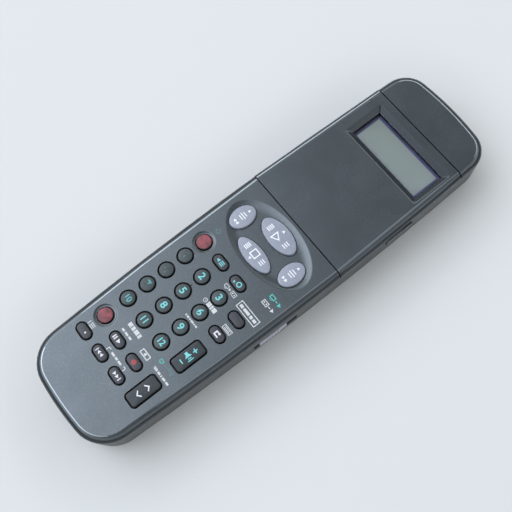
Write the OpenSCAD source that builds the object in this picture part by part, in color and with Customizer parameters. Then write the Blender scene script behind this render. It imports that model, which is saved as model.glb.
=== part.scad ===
// Hand-held infrared remote control for a video cassette recorder.
// The handset lies on its back: +X right, +Y to the head, +Z up out of the keypad face.

/* [Body] */
// Length from tail to head
body_length = 215; // [195:1:240]
// Width at the widest place
body_width = 60; // [58:0.5:72]
// Height of the keypad face above the table
body_height = 22.5; // [22.5:0.5:27]
// Radius of the long curved sides
side_radius = 1900; // [1200:50:4000]
// Place along the body where it is widest
widest_y = 4; // [-15:1:15]
// Radius of the curved head and tail ends
end_radius = 150; // [110:5:300]
// Corner radius at the head
head_corner = 12; // [10:0.5:15]
// Corner radius at the tail
tail_corner = 16; // [12:0.5:18]
// Width of the rounded edge round the face
edge_width = 2.8; // [2:0.1:3.4]
// Height of that edge, down to the seam between the cases
edge_height = 2.8; // [2.4:0.1:3.2]
// Slope at which that edge leaves the face
edge_start = 22; // [10:1:35]
// Radius of the edge round the back
back_edge = 4; // [2.5:0.25:4.5]
// Draft of the side walls below the seam
side_draft = 3; // [1:0.25:4]
// Wall of both cases
wall = 2; // [1.8:0.1:2.3]
// Thickness of the face
face_wall = 1.8; // [1.5:0.1:2]
// Thickness of the tongue that locates the upper case in the lower
tongue = 1.1; // [0.8:0.1:1.4]
// Gap between fitted pieces that don't move
fit_gap = 0.1; // [0.05:0.01:0.2]

/* [Lid] */
// Where the lid starts
lid_start = 17.85; // [15:0.5:22]
// Length of the lid
lid_length = 69.7; // [66:0.5:72]
// Thickness of the lid
lid_wall = 1.8; // [1.4:0.1:2]
// Gap all round the lid
lid_gap = 0.25; // [0.2:0.05:0.35]
// Clear height between the lid and the deck under it
deck_room = 1; // [0.9:0.05:1.3]
// Thickness of the deck under the lid
deck_wall = 1.6; // [1.2:0.1:1.8]
// Drop of the lid's right-hand skirt below the face
skirt_drop = 6.2; // [5.4:0.1:7]
// Thickness of the skirt
skirt_wall = 0.9; // [0.7:0.05:1]
// Radius of the skirt's lower corners
skirt_corner = 2.4; // [1.2:0.2:3]
// Middle of the finger tab on the skirt
tab_y = 51.2; // [46:0.5:56]
// Length of the finger tab
tab_length = 14.2; // [10:0.5:18]
// Drop of the finger tab below the skirt
tab_drop = 2.6; // [2:0.1:3.4]
// How far the finger tab stands out
tab_proud = 0.4; // [0.2:0.05:0.5]
// Radius of the rolled hinge edge on the left
roll_radius = 2.4; // [2.2:0.05:2.6]
// Diameter of the hinge pins
pin_d = 1.6; // [1.4:0.1:2]
// Length of a hinge pin in the lid and again in its boss
pin_reach = 3; // [2.5:0.25:4]
// Middle of the lid's window across the handset
window_x = 1.9; // [1:0.1:2.5]
// Middle of the lid's window along the handset
window_y = 73; // [72:0.25:74]
// How much narrower than the body the lid's window is at its outer rim
window_inset = 14.2; // [13.6:0.2:16]
// Height of the lid's window at its rim
window_h = 20.5; // [19:0.25:21]
// Bevel of the window's sides, run inwards
window_bevel = 2.4; // [1.5:0.1:2.6]

/* [Display] */
// Middle of the display along the handset
display_y = 74; // [73.5:0.1:74.4]
// How much narrower than the body the clear lens is
lens_inset = 14; // [13:0.5:15]
// Height of the clear lens
lens_h = 20; // [19.5:0.25:20.5]
// Thickness of the lens
lens_t = 1.2; // [1:0.1:1.3]
// Width of the holder's rim at the two ends of the display glass
glass_rim = 1.75; // [1.5:0.25:3]
// Height of the display glass
glass_h = 17.2; // [16:0.2:17.4]
// Thickness of the display glass
glass_t = 1.6; // [1.4:0.1:1.7]

/* [Keypad] */
// Middle of the keypad across the handset
keypad_x = -0.5; // [-0.8:0.1:0.5]
// Row of number keys 4, 5 and 6
keypad_y = -38.25; // [-39:0.25:-37.5]
// Distance between key columns
column_pitch = 12; // [11.5:0.1:12.4]
// Distance between number rows
row_pitch = 10; // [9.8:0.1:10.4]
// Diameter of a number key
number_d = 6.5; // [6:0.1:7]
// Diameter of a power key
power_d = 7; // [6.5:0.1:7.4]
// Radius of the dished ring round a power key
power_dish = 5; // [4.6:0.1:5.2]
// Depth of that ring
power_dish_depth = 0.5; // [0.3:0.05:0.6]
// Length of a stadium-shaped key
oval_w = 7.8; // [7:0.1:8.2]
// Width of a stadium-shaped key
oval_h = 4.2; // [3.8:0.1:4.6]
// Row of the two ovals and the power key over the numbers
top_row = -18.25; // [-18.5:0.25:-17.5]
// Row of the pause and record keys
pause_row = -72; // [-72.5:0.25:-71.5]
// Row of the three lowest keys
last_row = -80.8; // [-81.5:0.1:-80.3]
// Row of the lower power key
low_power_row = -70; // [-70.5:0.25:-69.5]
// Width of a rocker key
rocker_w = 6.6; // [6:0.1:7]
// Length of a rocker key
rocker_h = 14.3; // [13.5:0.1:14.6]
// Corner radius of a rocker key
rocker_corner = 1.3; // [0.8:0.1:1.8]
// Middle of the volume rocker
volume_y = -53.05; // [-53.5:0.05:-52.5]
// Middle of the channel rocker
channel_y = -75.85; // [-76.5:0.05:-75.5]
// Slack between a key and its hole
key_gap = 0.45; // [0.4:0.05:0.5]
// Rise of the keys above the face
key_rise = 0.8; // [0.5:0.05:1]
// Travel of a key
key_travel = 0.6; // [0.4:0.05:0.65]
// Width of the flange that keeps a key in its hole
key_flange = 1; // [0.8:0.05:1.1]
// Thickness of that flange
flange_t = 0.6; // [0.4:0.05:0.7]
// Broken rim of a key's hole
hole_rim = 0.25; // [0.1:0.05:0.3]

/* [Transport keys] */
// Middle of the transport keys and their dish across the handset
transport_x = -0.3; // [-0.6:0.1:0.3]
// Row of the rewind and fast-forward keys
transport_y = 1.75; // [1.25:0.25:2.25]
// Distance from the middle to the rewind and fast-forward keys
wind_offset = 16.85; // [16.5:0.05:17.2]
// Width of the rewind and fast-forward keys
wind_w = 9.3; // [8.5:0.1:9.6]
// Height of the rewind and fast-forward keys
wind_h = 13.1; // [12:0.1:13.6]
// Middle of the play key
play_y = 8.35; // [8:0.05:8.6]
// Width of the play key
play_w = 20.6; // [19.5:0.1:21]
// Height of the play key
play_h = 10.3; // [9.6:0.1:10.6]
// Middle of the stop key
stop_y = -5.15; // [-5.5:0.05:-4.9]
// Width of the stop key
stop_w = 20.1; // [19:0.1:20.6]
// Height of the stop key
stop_h = 8.3; // [7.6:0.1:8.8]
// Length of the shallow dish round the transport keys
dish_w = 48.4; // [46.5:0.2:49]
// Height of the dish
dish_h = 27; // [26.5:0.25:27.5]
// Depth of the dish
dish_depth = 0.7; // [0.4:0.05:0.9]
// Distance that the dish's slope takes from its rim inwards
dish_slope = 4.4; // [3:0.1:5]

/* [Program keys] */
// Distance between the columns of keys under the lid
program_pitch = 14; // [12:0.5:15]
// Lower row of the keys under the lid
program_y = 33; // [31:0.5:34]
// Distance between the two rows
program_row_pitch = 13; // [10:0.5:14]
// Rise of these keys above the deck
program_rise = 0.55; // [0.4:0.05:0.6]

/* [Side switch] */
// Lower end of the slot in the side
slot_start = -28.75; // [-30:0.25:-27.5]
// Length of the slot
slot_length = 23; // [22:0.25:24]
// Height of the slot
slot_height = 6.4; // [5.5:0.1:7]
// Height of the slot's middle above the table
slot_z = 10; // [9.5:0.1:10.5]
// Length of the sliding knob
knob_length = 14.5; // [13:0.25:15]
// Gap under the knob in its lower place
knob_start = 3; // [2.5:0.1:3.2]
// Travel of the knob
knob_travel = 5; // [4:0.1:5]
// How far the knob stands out of the side
knob_proud = 0.45; // [0.3:0.05:0.5]

/* [Boards] */
// Thickness of the keypad board
keypad_board_t = 1; // [0.8:0.1:1]
// Thickness of the display board
display_board_t = 1.2; // [1:0.1:1.4]
// Thickness of the rubber sheets that the keys grow from
sheet_t = 0.7; // [0.5:0.05:0.75]
// Thickness of the printed contact pads
pad_t = 0.08; // [0.05:0.01:0.1]
// Side of the controller chip
chip_side = 14; // [10:0.5:18]
// Thickness of the controller chip
chip_t = 2.2; // [1.2:0.1:2.6]

/* [Power] */
// Height that the cover, the boards, the keys and the face take from the cells
cell_room = 8; // [8:0.1:9]
// Length of a cell without its nub
cell_length = 49.2; // [48.6:0.1:49.4]
// Diameter of the nub
nub_d = 5.5; // [5:0.1:5.5]
// Height of the nub
nub_h = 1.3; // [1:0.1:1.4]
// Slack between neighbouring cells
cell_gap = 0.4; // [0.3:0.05:0.6]
// Length of a pressed spring contact
spring_length = 4.6; // [4:0.1:5.5]
// Diameter of the spring's wire
spring_wire = 0.7; // [0.5:0.05:0.8]
// Turns of a spring
spring_turns = 3; // [2:1:3]
// Thickness of the contact plates
plate_t = 0.4; // [0.3:0.05:0.5]
// Distance from the tail to the battery bay
bay_inset = 10.2; // [9.6:0.1:11]
// Wall of the battery bay
bay_wall = 1.2; // [1:0.1:1.4]
// Thickness of the battery cover
cover_t = 1.6; // [1.4:0.1:1.8]
// Height of the cover's turned-up end
cover_end_h = 5; // [4.6:0.1:6]
// Half the width of the catch at the cover's inner end
latch_half = 6; // [4:0.5:8]
// Reach of that catch under the case
latch_reach = 1.8; // [1.4:0.1:2]
// Width of the rails along the cover
rail_w = 0.8; // [0.6:0.05:1]
// Thickness of the rails
rail_t = 0.7; // [0.6:0.05:0.8]

/* [Back] */
// Width of the bare panel in the back
label_w = 36; // [28:1:40]
// Length of that panel
label_h = 44; // [30:1:50]
// Middle of the panel along the handset
label_y = 22; // [14:1:40]
// Depth of the panel
label_depth = 0.3; // [0.2:0.05:0.5]

/* [Head and screws] */
// Width of the infrared window
ir_w = 30; // [24:0.5:32]
// Height of the infrared window
ir_h = 9; // [7:0.25:9.5]
// Middle of the window above the table
ir_z = 10; // [9.5:0.25:10.5]
// Diameter of an infrared diode
led_d = 5; // [4.6:0.1:5.2]
// Length of an infrared diode
led_length = 8.6; // [8:0.1:9]
// Distance between the two diodes
led_pitch = 14; // [10:0.5:18]
// Diameter of a screw's shank
screw_d = 2.4; // [2:0.1:2.6]
// Diameter of a screw's head
screw_head_d = 4.4; // [4:0.1:4.6]
// Distance from the widest side to the screws
screw_inset = 10; // [9.5:0.1:10.2]
// Distance from the head to its two screws
head_screw_inset = 10.5; // [10:0.25:12]
// Distance from the tail to its two screws
tail_screw_inset = 18.5; // [17.5:0.25:19.5]

/* [Hidden] */
$fn = 48;
far = 300;
arc_steps = 9;
side_steps = 8;
end_steps = 3;
edge_steps = 5;
ellipse_steps = 40;
dish_steps = 5;
dish_points = 72;
small = 0.01;

half_length = body_length / 2;
half_width = body_width / 2;
seam_z = body_height - edge_height;
face_under = body_height - face_wall;

lid_end = lid_start + lid_length;
lid_under = body_height - lid_wall;
deck_top = lid_under - deck_room;
lens_room = 0.4;
deck_under = deck_top - deck_wall;
skirt_z = body_height - skirt_drop;
recess_wall = 1.5;

key_slack = 0.2;
press_room = 0.1;
display_board_top = deck_under - key_slack - flange_t - key_travel - press_room - sheet_t;
display_board_z = display_board_top - display_board_t;
lens_top = lid_under - lens_room;
lens_z = lens_top - lens_t;
lens_corner = 0.6;
lens_w = body_width - lens_inset;
glass_w = lens_w - 2 * glass_rim;
window_w = body_width - window_inset;
glass_z = lens_z - fit_gap - glass_t;

cell_d = body_height - cell_room;
cover_lift = 0.3;
bay_roof = 0.9;
cell_z = cover_t + cover_lift + cell_d / 2;
bay_roof_z = cell_z + cell_d / 2 + fit_gap;
keypad_board_z = bay_roof_z + bay_roof;
keypad_board_top = keypad_board_z + keypad_board_t;
key_foot = keypad_board_top + key_travel + pad_t + press_room;
flange_top = face_under - key_slack;
board_gap = 0.3;
board_inset = wall + tongue + 2 * board_gap;
board_step = 2.2;

cell_edge = 0.5;
cell_x = (cell_d + cell_gap) / 2;
bay_half = cell_d + 1.5 * cell_gap;
bay_length = cell_length + nub_h + spring_length + 2 * plate_t + cell_gap;
bay_start = bay_inset - half_length;
bay_end = bay_start + bay_length;
cover_lap = 1.2;
cover_half = bay_half + 0.5;
cover_y = bay_end + cover_lap;
cover_gap = 0.15;
shelf_wall = 1.6;
shelf_top = cover_t + cover_gap + shelf_wall;
tail_step = half_length - back_edge - 0.5;
rail_end = 2;
grip_depth = 0.4;
grip_pitch = 2;
grip_half = 7;
spring_tip_r = 2.2;
spring_foot_r = 3.8;
turn_steps = 14;
plate_half = 5.2;
arrow_size = 6;

post_r = 2.4;
boss_r = 3;
post_foot = 12;
screw_seat = 8;
screw_tip = 18;
screw_head_h = 1.8;
screw_x = half_width - screw_inset;
head_screw_y = half_length - head_screw_inset;
tail_screw_y = tail_screw_inset - half_length;
screw_places = [for (y = [head_screw_y, tail_screw_y], side = [-1, 1]) [side * screw_x, y]];
stud_r = 2;
keypad_stud_rise = 4.25;
display_stud_inset = 6;
head_stud_inset = 9;

led_inset = 12.4;
led_back = half_length - led_inset;
led_rim = 0.4;
led_lead = 0.5;
led_lead_x = 1.27;
led_lead_run = 3;
pill_d = 3.4;
pill_gap = 0.6;
rocker_pill = 4.6;
rocker_tilt = 3;
rocker_flange = 0.5;
rocker_ridge = 0.6;
rocker_end = rocker_h / 2 + key_flange;
rocker_drop = rocker_end * sin(rocker_tilt) + press_room;
rocker_foot = keypad_board_top + pad_t + press_room / 2 + (rocker_pill + pill_d / 2) * sin(rocker_tilt);
key_edge = 0.45;
key_crown = 0.22;

knob_y = slot_start + knob_start;
knob_middle = knob_y + knob_length / 2;
knob_slack = 0.3;
knob_plate = 1.6;
knob_stem = 3;
knob_stem_half = 1.2;
slot_depth = 15;
switch_x1 = half_width - 4.4;
switch_x0 = switch_x1 - 5;
switch_half = 8;
switch_drop = 3;
switch_track = 1.5;

tab_depth = 2.2;
tab_root = 1.4;
stay_x = half_width - 5.6;
stay_w = 0.8;
stay_start = 8;
stay_length = 12;
stay_gap = 0.3;
deck_step = 1.6;
mask_corner = 0.4;
window_lip = 0.4;
ribbon_t = 0.3;
ribbon_w = 16;
ribbon_x = -8;
strip_w = 1.8;
sheet_edge = 6;
sheet_inset = 8;
sheet_half = half_width - sheet_inset;
program_sheet_half = program_pitch / 2 + 1.5 * sheet_edge;
ribbon_lap = 5.6;
skirt_root = half_width / 3;

case_grey = [0.36, 0.38, 0.41];
back_grey = [0.27, 0.28, 0.30];
rubber_black = [0.16, 0.17, 0.19];
rubber_plum = [0.23, 0.22, 0.25];
lavender = [0.63, 0.64, 0.70];
power_rose = [0.64, 0.28, 0.32];
steel = [0.75, 0.75, 0.74];

// Where keys sit: columns count from the left, rows from the top.
function column_x(column) = keypad_x + (column - 1.5) * column_pitch;
function number_row(row) = keypad_y + (1 - row) * row_pitch;
function program_x(column) = (column - 0.5) * program_pitch;
function program_row(row) = program_y + row * program_row_pitch;

round_keys = concat(
    [for (row = [0:3], column = [0:2]) [column_x(column), number_row(row), number_d]],
    [[column_x(0), top_row, power_d], [column_x(0), low_power_row, power_d]]
);
oval_keys = [
    [column_x(1), top_row], [column_x(2), top_row],
    [column_x(3), number_row(0)], [column_x(3), number_row(1)],
    [column_x(1), pause_row], [column_x(2), pause_row],
    [column_x(0), last_row], [column_x(1), last_row], [column_x(2), last_row]
];
rocker_keys = [[column_x(3), volume_y], [column_x(3), channel_y]];
transport_keys = [
    [transport_x - wind_offset, transport_y, wind_w, wind_h],
    [transport_x, play_y, play_w, play_h],
    [transport_x, stop_y, stop_w, stop_h],
    [transport_x + wind_offset, transport_y, wind_w, wind_h]
];
program_keys = [for (row = [0:1], column = [0:1]) [program_x(column), program_row(row)]];

// Outlines, all as lists of points that run anticlockwise.
function arc(centre, r, from, to, steps) =
    [for (i = [0:steps]) let (a = from + (to - from) * i / steps) centre + r * [cos(a), sin(a)]];
function tail_of(points) = [for (i = [1:len(points) - 1]) points[i]];
function mirrored(points) = [for (i = [len(points) - 2:-1:1]) [-points[i].x, points[i].y]];

// A corner arc touches the side arc and the end arc from inside.
side_centre = [half_width - side_radius, widest_y];
function end_centre(end) = [0, end * (half_length - end_radius)];
function corner_centre(end, r) =
    let (
        across = end_centre(end) - side_centre,
        gap = norm(across),
        along = across / gap,
        reach = (pow(side_radius - r, 2) - pow(end_radius - r, 2) + gap * gap) / (2 * gap),
        rise = sqrt(pow(side_radius - r, 2) - reach * reach)
    )
    side_centre + reach * along + end * rise * [-along.y, along.x];
function angle_from(centre, point) = atan2(point.y - centre.y, point.x - centre.x);

head_centre = corner_centre(1, head_corner);
tail_centre = corner_centre(-1, tail_corner);
head_side_a = angle_from(side_centre, head_centre);
tail_side_a = angle_from(side_centre, tail_centre);
head_end_a = angle_from(end_centre(1), head_centre);
tail_end_a = angle_from(end_centre(-1), tail_centre);

function body_outline(inset) =
    let (right = concat(
        arc(end_centre(-1), end_radius - inset, -90, tail_end_a, end_steps),
        tail_of(arc(tail_centre, tail_corner - inset, tail_end_a, tail_side_a, arc_steps)),
        tail_of(arc(side_centre, side_radius - inset, tail_side_a, head_side_a, side_steps)),
        tail_of(arc(head_centre, head_corner - inset, head_side_a, head_end_a, arc_steps)),
        tail_of(arc(end_centre(1), end_radius - inset, head_end_a, 90, end_steps))
    ))
    concat(right, mirrored(right));

function half_width_at(y) =
    sqrt(side_radius * side_radius - pow(y - widest_y, 2)) + side_centre.x;

function ellipse_outline(w, h, steps = ellipse_steps) =
    [for (i = [0:steps - 1]) [w / 2 * cos(360 * i / steps), h / 2 * sin(360 * i / steps)]];
function rounded_outline(w, h, r, steps = 5) =
    let (x = w / 2 - r, y = h / 2 - r)
    concat(
        arc([x, -y], r, -90, 0, steps), arc([x, y], r, 0, 90, steps),
        arc([-x, y], r, 90, 180, steps), arc([-x, -y], r, 180, 270, steps)
    );

function lifted(points, z) = [for (p = points) [p.x, p.y, z]];

// Closes a stack of rings, lowest first, into one solid.
module skin(rings) {
    n = len(rings[0]);
    top = len(rings) - 1;
    sides = [for (i = [0:top - 1], j = [0:n - 1])
        let (a = i * n + j, b = i * n + (j + 1) % n)
        each [[a, a + n, b + n], [a, b + n, b]]];
    bottom_cap = [[for (j = [0:n - 1]) j]];
    top_cap = [[for (j = [n - 1:-1:0]) top * n + j]];
    polyhedron([for (ring = rings) each ring], concat(bottom_cap, sides, top_cap));
}

// Inset of the outer surface at a height, and the rings that follow it.
function draft_inset(z) = (seam_z - z) * tan(side_draft);
back_levels = [for (i = [0:edge_steps]) back_edge * (1 - cos(90 * i / edge_steps))];
function back_inset(z) =
    draft_inset(z) + back_edge - sqrt(max(0, pow(back_edge, 2) - pow(back_edge - z, 2)));
edge_angles = [for (i = [0:edge_steps]) 90 - (90 - edge_start) * i / edge_steps];
function edge_inset(a) = edge_width * (1 - sin(a)) / (1 - sin(edge_start));
function edge_z(a) = body_height - edge_height * (cos(edge_start) - cos(a)) / cos(edge_start);

lower_rings = concat(
    [for (z = back_levels) lifted(body_outline(back_inset(z)), z)],
    [lifted(body_outline(0), seam_z)]
);
upper_rings = [for (a = edge_angles) lifted(body_outline(edge_inset(a)), edge_z(a))];

module lower_form() skin(lower_rings);
module upper_form() skin(upper_rings);
module whole_form() skin(concat(lower_rings, tail_of(upper_rings)));

// A straight-sided block inside the body's outline, between two heights.
module inside(inset, z0, z1) {
    translate([0, 0, z0]) linear_extrude(z1 - z0) polygon(body_outline(inset));
}

module block(x0, x1, y0, y1, z0, z1) {
    translate([x0, y0, z0]) cube([x1 - x0, y1 - y0, z1 - z0]);
}

// The hinge axis follows the left edge between the lid's two ends.
hinge_z = body_height - roll_radius;
hinge_x0 = roll_radius - half_width_at(lid_start);
hinge_x1 = roll_radius - half_width_at(lid_end);
hinge_lean = atan2(hinge_x1 - hinge_x0, lid_length);
trough_radius = roll_radius + lid_gap + 1;
boss_edge = hinge_x1 + pin_d / 2 + 1;

module along_hinge(r, from, to) {
    translate([hinge_x0, lid_start, hinge_z])
        rotate([-90, 0, -hinge_lean])
            translate([0, 0, from]) cylinder(r = r, h = to - from);
}

// The lid's outline seen from the side, grown by a gap for the place that it closes.
module lid_side(grow) {
    corner = skirt_corner - grow;
    y0 = lid_start - grow;
    y1 = lid_end + grow;
    low = skirt_z - grow;
    rotate([90, 0, 90])
        linear_extrude(far) {
            translate([y0, low + corner]) square([y1 - y0, body_height - low]);
            translate([y0 + corner, low]) square([y1 - y0 - 2 * corner, corner + small]);
            for (y = [y0 + corner, y1 - corner])
                translate([y, low + corner]) circle(corner);
            translate([tab_y - tab_length / 2 - grow, low - tab_drop])
                square([tab_length + 2 * grow, tab_drop + small]);
        }
}

// Everything right of the hinge that the lid covers.
module lid_place(grow) {
    lid_side(grow);
    block(-far, small, lid_start - grow, lid_end + grow, deck_top, body_height + 1);
}

module lid() {
    color(case_grey) difference() {
        union() {
            difference() {
                union() {
                    intersection() {
                        whole_form();
                        lid_place(0);
                    }
                    finger_tab();
                }
                inside(skirt_wall + 0.5, 0, lid_under);
                block(-far, hinge_x1, -far, far, 0, hinge_z);
            }
            along_hinge(roll_radius, 0, lid_length / cos(hinge_lean));
            lid_stop();
        }
        window_cut();
        for (y = [-1, lid_length - pin_reach])
            along_hinge(pin_d / 2 + fit_gap, y, y + pin_reach + 1.2);
        block(-far, far, -far, lid_start, 0, far);
        block(-far, far, lid_end, far, 0, far);
    }
}

// The tab that a finger lifts the lid by stands out of the skirt.
module finger_tab() {
    half = tab_length / 2;
    x1 = half_width_at(tab_y);
    block(x1 - tab_depth, x1 + tab_proud, tab_y - half, tab_y + half, skirt_z - tab_drop,
        skirt_z + tab_root);
}

// A short rib under the lid's middle keeps it off the keys.
module lid_stop() {
    y = lid_start + stay_start;
    block(stay_x, stay_x + stay_w, y, y + stay_length, deck_top + stay_gap, lid_under + small);
}

module window_cut() {
    inner = rounded_outline(window_w - 2 * window_bevel, window_h - 2 * window_bevel, mask_corner);
    translate([window_x, window_y]) skin([
        lifted(inner, lid_under - 1),
        lifted(inner, lid_under + window_lip),
        lifted(rounded_outline(window_w, window_h, 2 * mask_corner), body_height + small)
    ]);
}

module hinge_pins() {
    reach = lid_length / cos(hinge_lean);
    color(steel) {
        along_hinge(pin_d / 2, -pin_reach - lid_gap, pin_reach);
        along_hinge(pin_d / 2, reach - pin_reach, reach + pin_reach + lid_gap);
    }
}

// The holes of the face keys; the small ones have a broken rim.
module key_holes() {
    for (key = round_keys)
        hole_of(key.x, key.y, key_outline(key.z, key.z, 0, key_gap, "ellipse"));
    for (key = [for (i = [0:11]) round_keys[i]])
        rim_of(key.x, key.y, key.z, key.z, 0, "ellipse");
    for (key = oval_keys) {
        hole_of(key.x, key.y, key_outline(oval_w, oval_h, oval_h / 2, key_gap, "rounded"));
        rim_of(key.x, key.y, oval_w, oval_h, oval_h / 2, "rounded");
    }
    for (key = rocker_keys) {
        hole_of(key.x, key.y, key_outline(rocker_w, rocker_h, rocker_corner, key_gap, "rounded"));
        rim_of(key.x, key.y, rocker_w, rocker_h, rocker_corner, "rounded");
    }
    for (key = transport_keys)
        hole_of(key[0], key[1], key_outline(key[2], key[3], 0, key_gap, "ellipse"));
}

module hole_of(x, y, outline, from = deck_under - 1) {
    translate([x, y, from]) linear_extrude(far) polygon(outline);
}

module rim_of(x, y, w, h, r, scheme) {
    translate([x, y]) skin([
        lifted(key_outline(w, h, r, key_gap, scheme), body_height - hole_rim),
        lifted(key_outline(w, h, r, key_gap + hole_rim, scheme), body_height + small)
    ]);
}

// Dishes in the face: one round the transport keys, a ring round each power key.
module face_dishes() {
    translate([transport_x, transport_y + 1]) skin([
        for (i = [0:dish_steps]) let (t = i / dish_steps, in = 2 * dish_slope * (1 - t))
            lifted(ellipse_outline(dish_w - in, dish_h - in, dish_points),
                body_height - dish_depth * (1 - t * t) + small * t)
    ]);
    for (y = [top_row, low_power_row])
        translate([column_x(0), y, body_height - power_dish_depth])
            cylinder(r1 = power_d / 2 + key_gap + hole_rim, r2 = power_dish, h = power_dish_depth + small);
}

module upper_case() {
    color(case_grey) difference() {
        union() {
            difference() {
                upper_form();
                inside(wall, seam_z - 1, face_under);
                translate([-far / 2, lid_start - lid_gap, deck_top])
                    cube([far, lid_length + 2 * lid_gap, far]);
            }
            difference() {
                inside(wall + fit_gap, deck_under, face_under);
                inside(wall + fit_gap + tongue, deck_under - 1, face_under + 1);
            }
            deck();
            intersection() {
                inside(wall + fit_gap, 0, face_under + small);
                union() {
                    hinge_bosses();
                    hinge_trough();
                }
            }
            for (place = screw_places)
                translate([place.x, place.y, post_foot])
                    cylinder(r = post_r, h = face_under - post_foot + small);
        }
        hinge_room();
        skirt_room();
        key_holes();
        face_dishes();
        program_holes();
        lens_hole();
        along_hinge(pin_d / 2, -pin_reach - lid_gap, lid_length + pin_reach + 2 * lid_gap);
        for (place = screw_places)
            translate([place.x, place.y, 0]) cylinder(d = screw_d + fit_gap, h = screw_tip + 0.5);
    }
}

module deck() {
    y0 = lid_start - lid_gap;
    y1 = lid_end + lid_gap;
    intersection() {
        inside(wall + fit_gap, 0, face_under + small);
        union() {
            block(-far, far, y0 - deck_step, y1 + deck_step, deck_under, deck_top);
            block(-far, far, y0 - deck_step, y0, deck_under, face_under + small);
            block(-far, far, y1, y1 + deck_step, deck_under, face_under + small);
        }
    }
}

module hinge_bosses() {
    for (y = [lid_start - lid_gap - pin_reach - 1, lid_end + lid_gap])
        block(-far, boss_edge, y, y + pin_reach + 1, deck_under, face_under + small);
}

module hinge_trough() {
    intersection() {
        along_hinge(trough_radius, 0, lid_length);
        block(-far, 0, lid_start - lid_gap, lid_end + lid_gap, 0, deck_top);
    }
}

module hinge_room() {
    along_hinge(roll_radius + lid_gap, -lid_gap, lid_length + 2 * lid_gap);
}

module skirt_room() {
    difference() {
        lid_side(lid_gap);
        inside(recess_wall, 0, far);
        block(-far, skirt_root, -far, far, 0, far);
    }
}

module program_holes() {
    for (key = program_keys)
        hole_of(key.x, key.y, key_outline(oval_w, oval_h, oval_h / 2, key_gap, "rounded"));
}

module lens_hole() {
    hole_of(window_x, display_y, rounded_outline(lens_w + 2 * fit_gap, lens_h + 2 * fit_gap, lens_corner));
}

module lower_case() {
    inner = wall + draft_inset(wall);
    color(back_grey) difference() {
        union() {
            difference() {
                lower_form();
                inside(inner, wall, seam_z + 1);
            }
            battery_bay();
            for (place = screw_places)
                translate([place.x, place.y, wall - small])
                    cylinder(r = boss_r, h = post_foot - wall + small);
            board_posts();
        }
        bay_room();
        cover_room();
        inside(wall, deck_under - small, seam_z + 1);
        skirt_room();
        hinge_room();
        intersection() {
            along_hinge(trough_radius + fit_gap, -lid_gap - fit_gap, lid_length + 2 * lid_gap);
            inside(wall, 0, seam_z);
        }
        along_hinge(pin_d / 2 + fit_gap, -pin_reach - 2 * lid_gap,
            lid_length + pin_reach + 3 * lid_gap);
        switch_slot();
        infrared_hole();
        label_recess();
        for (place = screw_places) translate(place) {
            translate([0, 0, -1]) cylinder(d = screw_head_d + 0.4, h = screw_seat + 1);
            cylinder(d = screw_d + 0.4, h = far);
        }
    }
}

// A shallow panel in the back, left bare.
module label_recess() {
    translate([0, label_y, -1]) linear_extrude(1 + label_depth)
        polygon(rounded_outline(label_w, label_h, 2));
}

module battery_bay() {
    half = bay_half + bay_wall;
    shelf = cover_half + rail_w + bay_wall;
    block(-half, half, bay_start - bay_wall, bay_end + bay_wall, wall - small, keypad_board_z);
    intersection() {
        block(-shelf, shelf, -half_length, cover_y + 3, 0, shelf_top);
        lower_form();
    }
}

module bay_room() {
    block(-bay_half, bay_half, bay_start, bay_end, -1, bay_roof_z);
}

module cover_room() {
    g = cover_gap;
    rail = cover_half + rail_w + g;
    block(-cover_half - g, cover_half + g, -far, cover_y + g, -1, cover_t + g);
    block(-cover_half - g, cover_half + g, -far, -tail_step + g, -1, cover_end_h + g);
    block(-rail, rail, -far, cover_y - rail_end + g, cover_t - rail_t - g, cover_t + g);
    block(-latch_half - g, latch_half + g, cover_y, cover_y + latch_reach + g, cover_t - rail_t - g,
        cover_t + g);
}

// Studs that the two boards rest on.
module board_posts() {
    studs = [
        [transport_y + keypad_stud_rise, keypad_board_z],
        [lid_start + display_stud_inset, display_board_z],
        [head_screw_y - head_stud_inset, display_board_z]
    ];
    for (x = [-screw_x, screw_x], stud = studs)
        translate([x, stud[0], wall - small]) cylinder(r = stud_r, h = stud[1] - wall + small);
}

module battery_cover() {
    color(back_grey) difference() {
        union() {
            intersection() {
                lower_form();
                union() {
                    block(-cover_half, cover_half, -half_length, cover_y, 0, cover_t);
                    block(-cover_half, cover_half, -half_length, -tail_step, 0, cover_end_h);
                }
            }
            for (side = [-1, 1])
                translate([side * cover_half, (bay_start + cover_y - rail_end) / 2, cover_t - rail_t / 2])
                    cube([2 * rail_w, cover_y - bay_start - rail_end, rail_t], center = true);
            block(-latch_half, latch_half, cover_y - small, cover_y + latch_reach, cover_t - rail_t,
                cover_t);
        }
        cover_grip();
    }
}

// Grooves and an arrow that shows which way the cover slides.
module cover_grip() {
    for (i = [2:6])
        block(-grip_half, grip_half, cover_y - i * grip_pitch, cover_y - (i - 0.5) * grip_pitch, -1,
            grip_depth);
    translate([0, cover_y - 8 * grip_pitch, -1]) linear_extrude(1 + grip_depth)
        polygon([[-arrow_size / 2, 0], [0, -0.8 * arrow_size], [arrow_size / 2, 0]]);
}

module display_lens() {
    color([0.55, 0.6, 0.66, 0.5]) translate([window_x, display_y, lens_z]) linear_extrude(lens_t)
        polygon(rounded_outline(lens_w, lens_h, lens_corner));
}

module display_glass() {
    color([0.56, 0.62, 0.56]) translate([window_x, display_y, glass_z + glass_t / 2])
        cube([glass_w, glass_h, glass_t], center = true);
}

module display_holder() {
    h = lens_z - display_board_top;
    color([0.12, 0.13, 0.2]) translate([window_x, display_y, display_board_top])
        difference() {
            linear_extrude(h) polygon(rounded_outline(lens_w, lens_h, lens_corner));
            cube([glass_w + 2 * fit_gap, glass_h + 2 * fit_gap, 3 * h], center = true);
        }
}

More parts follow.
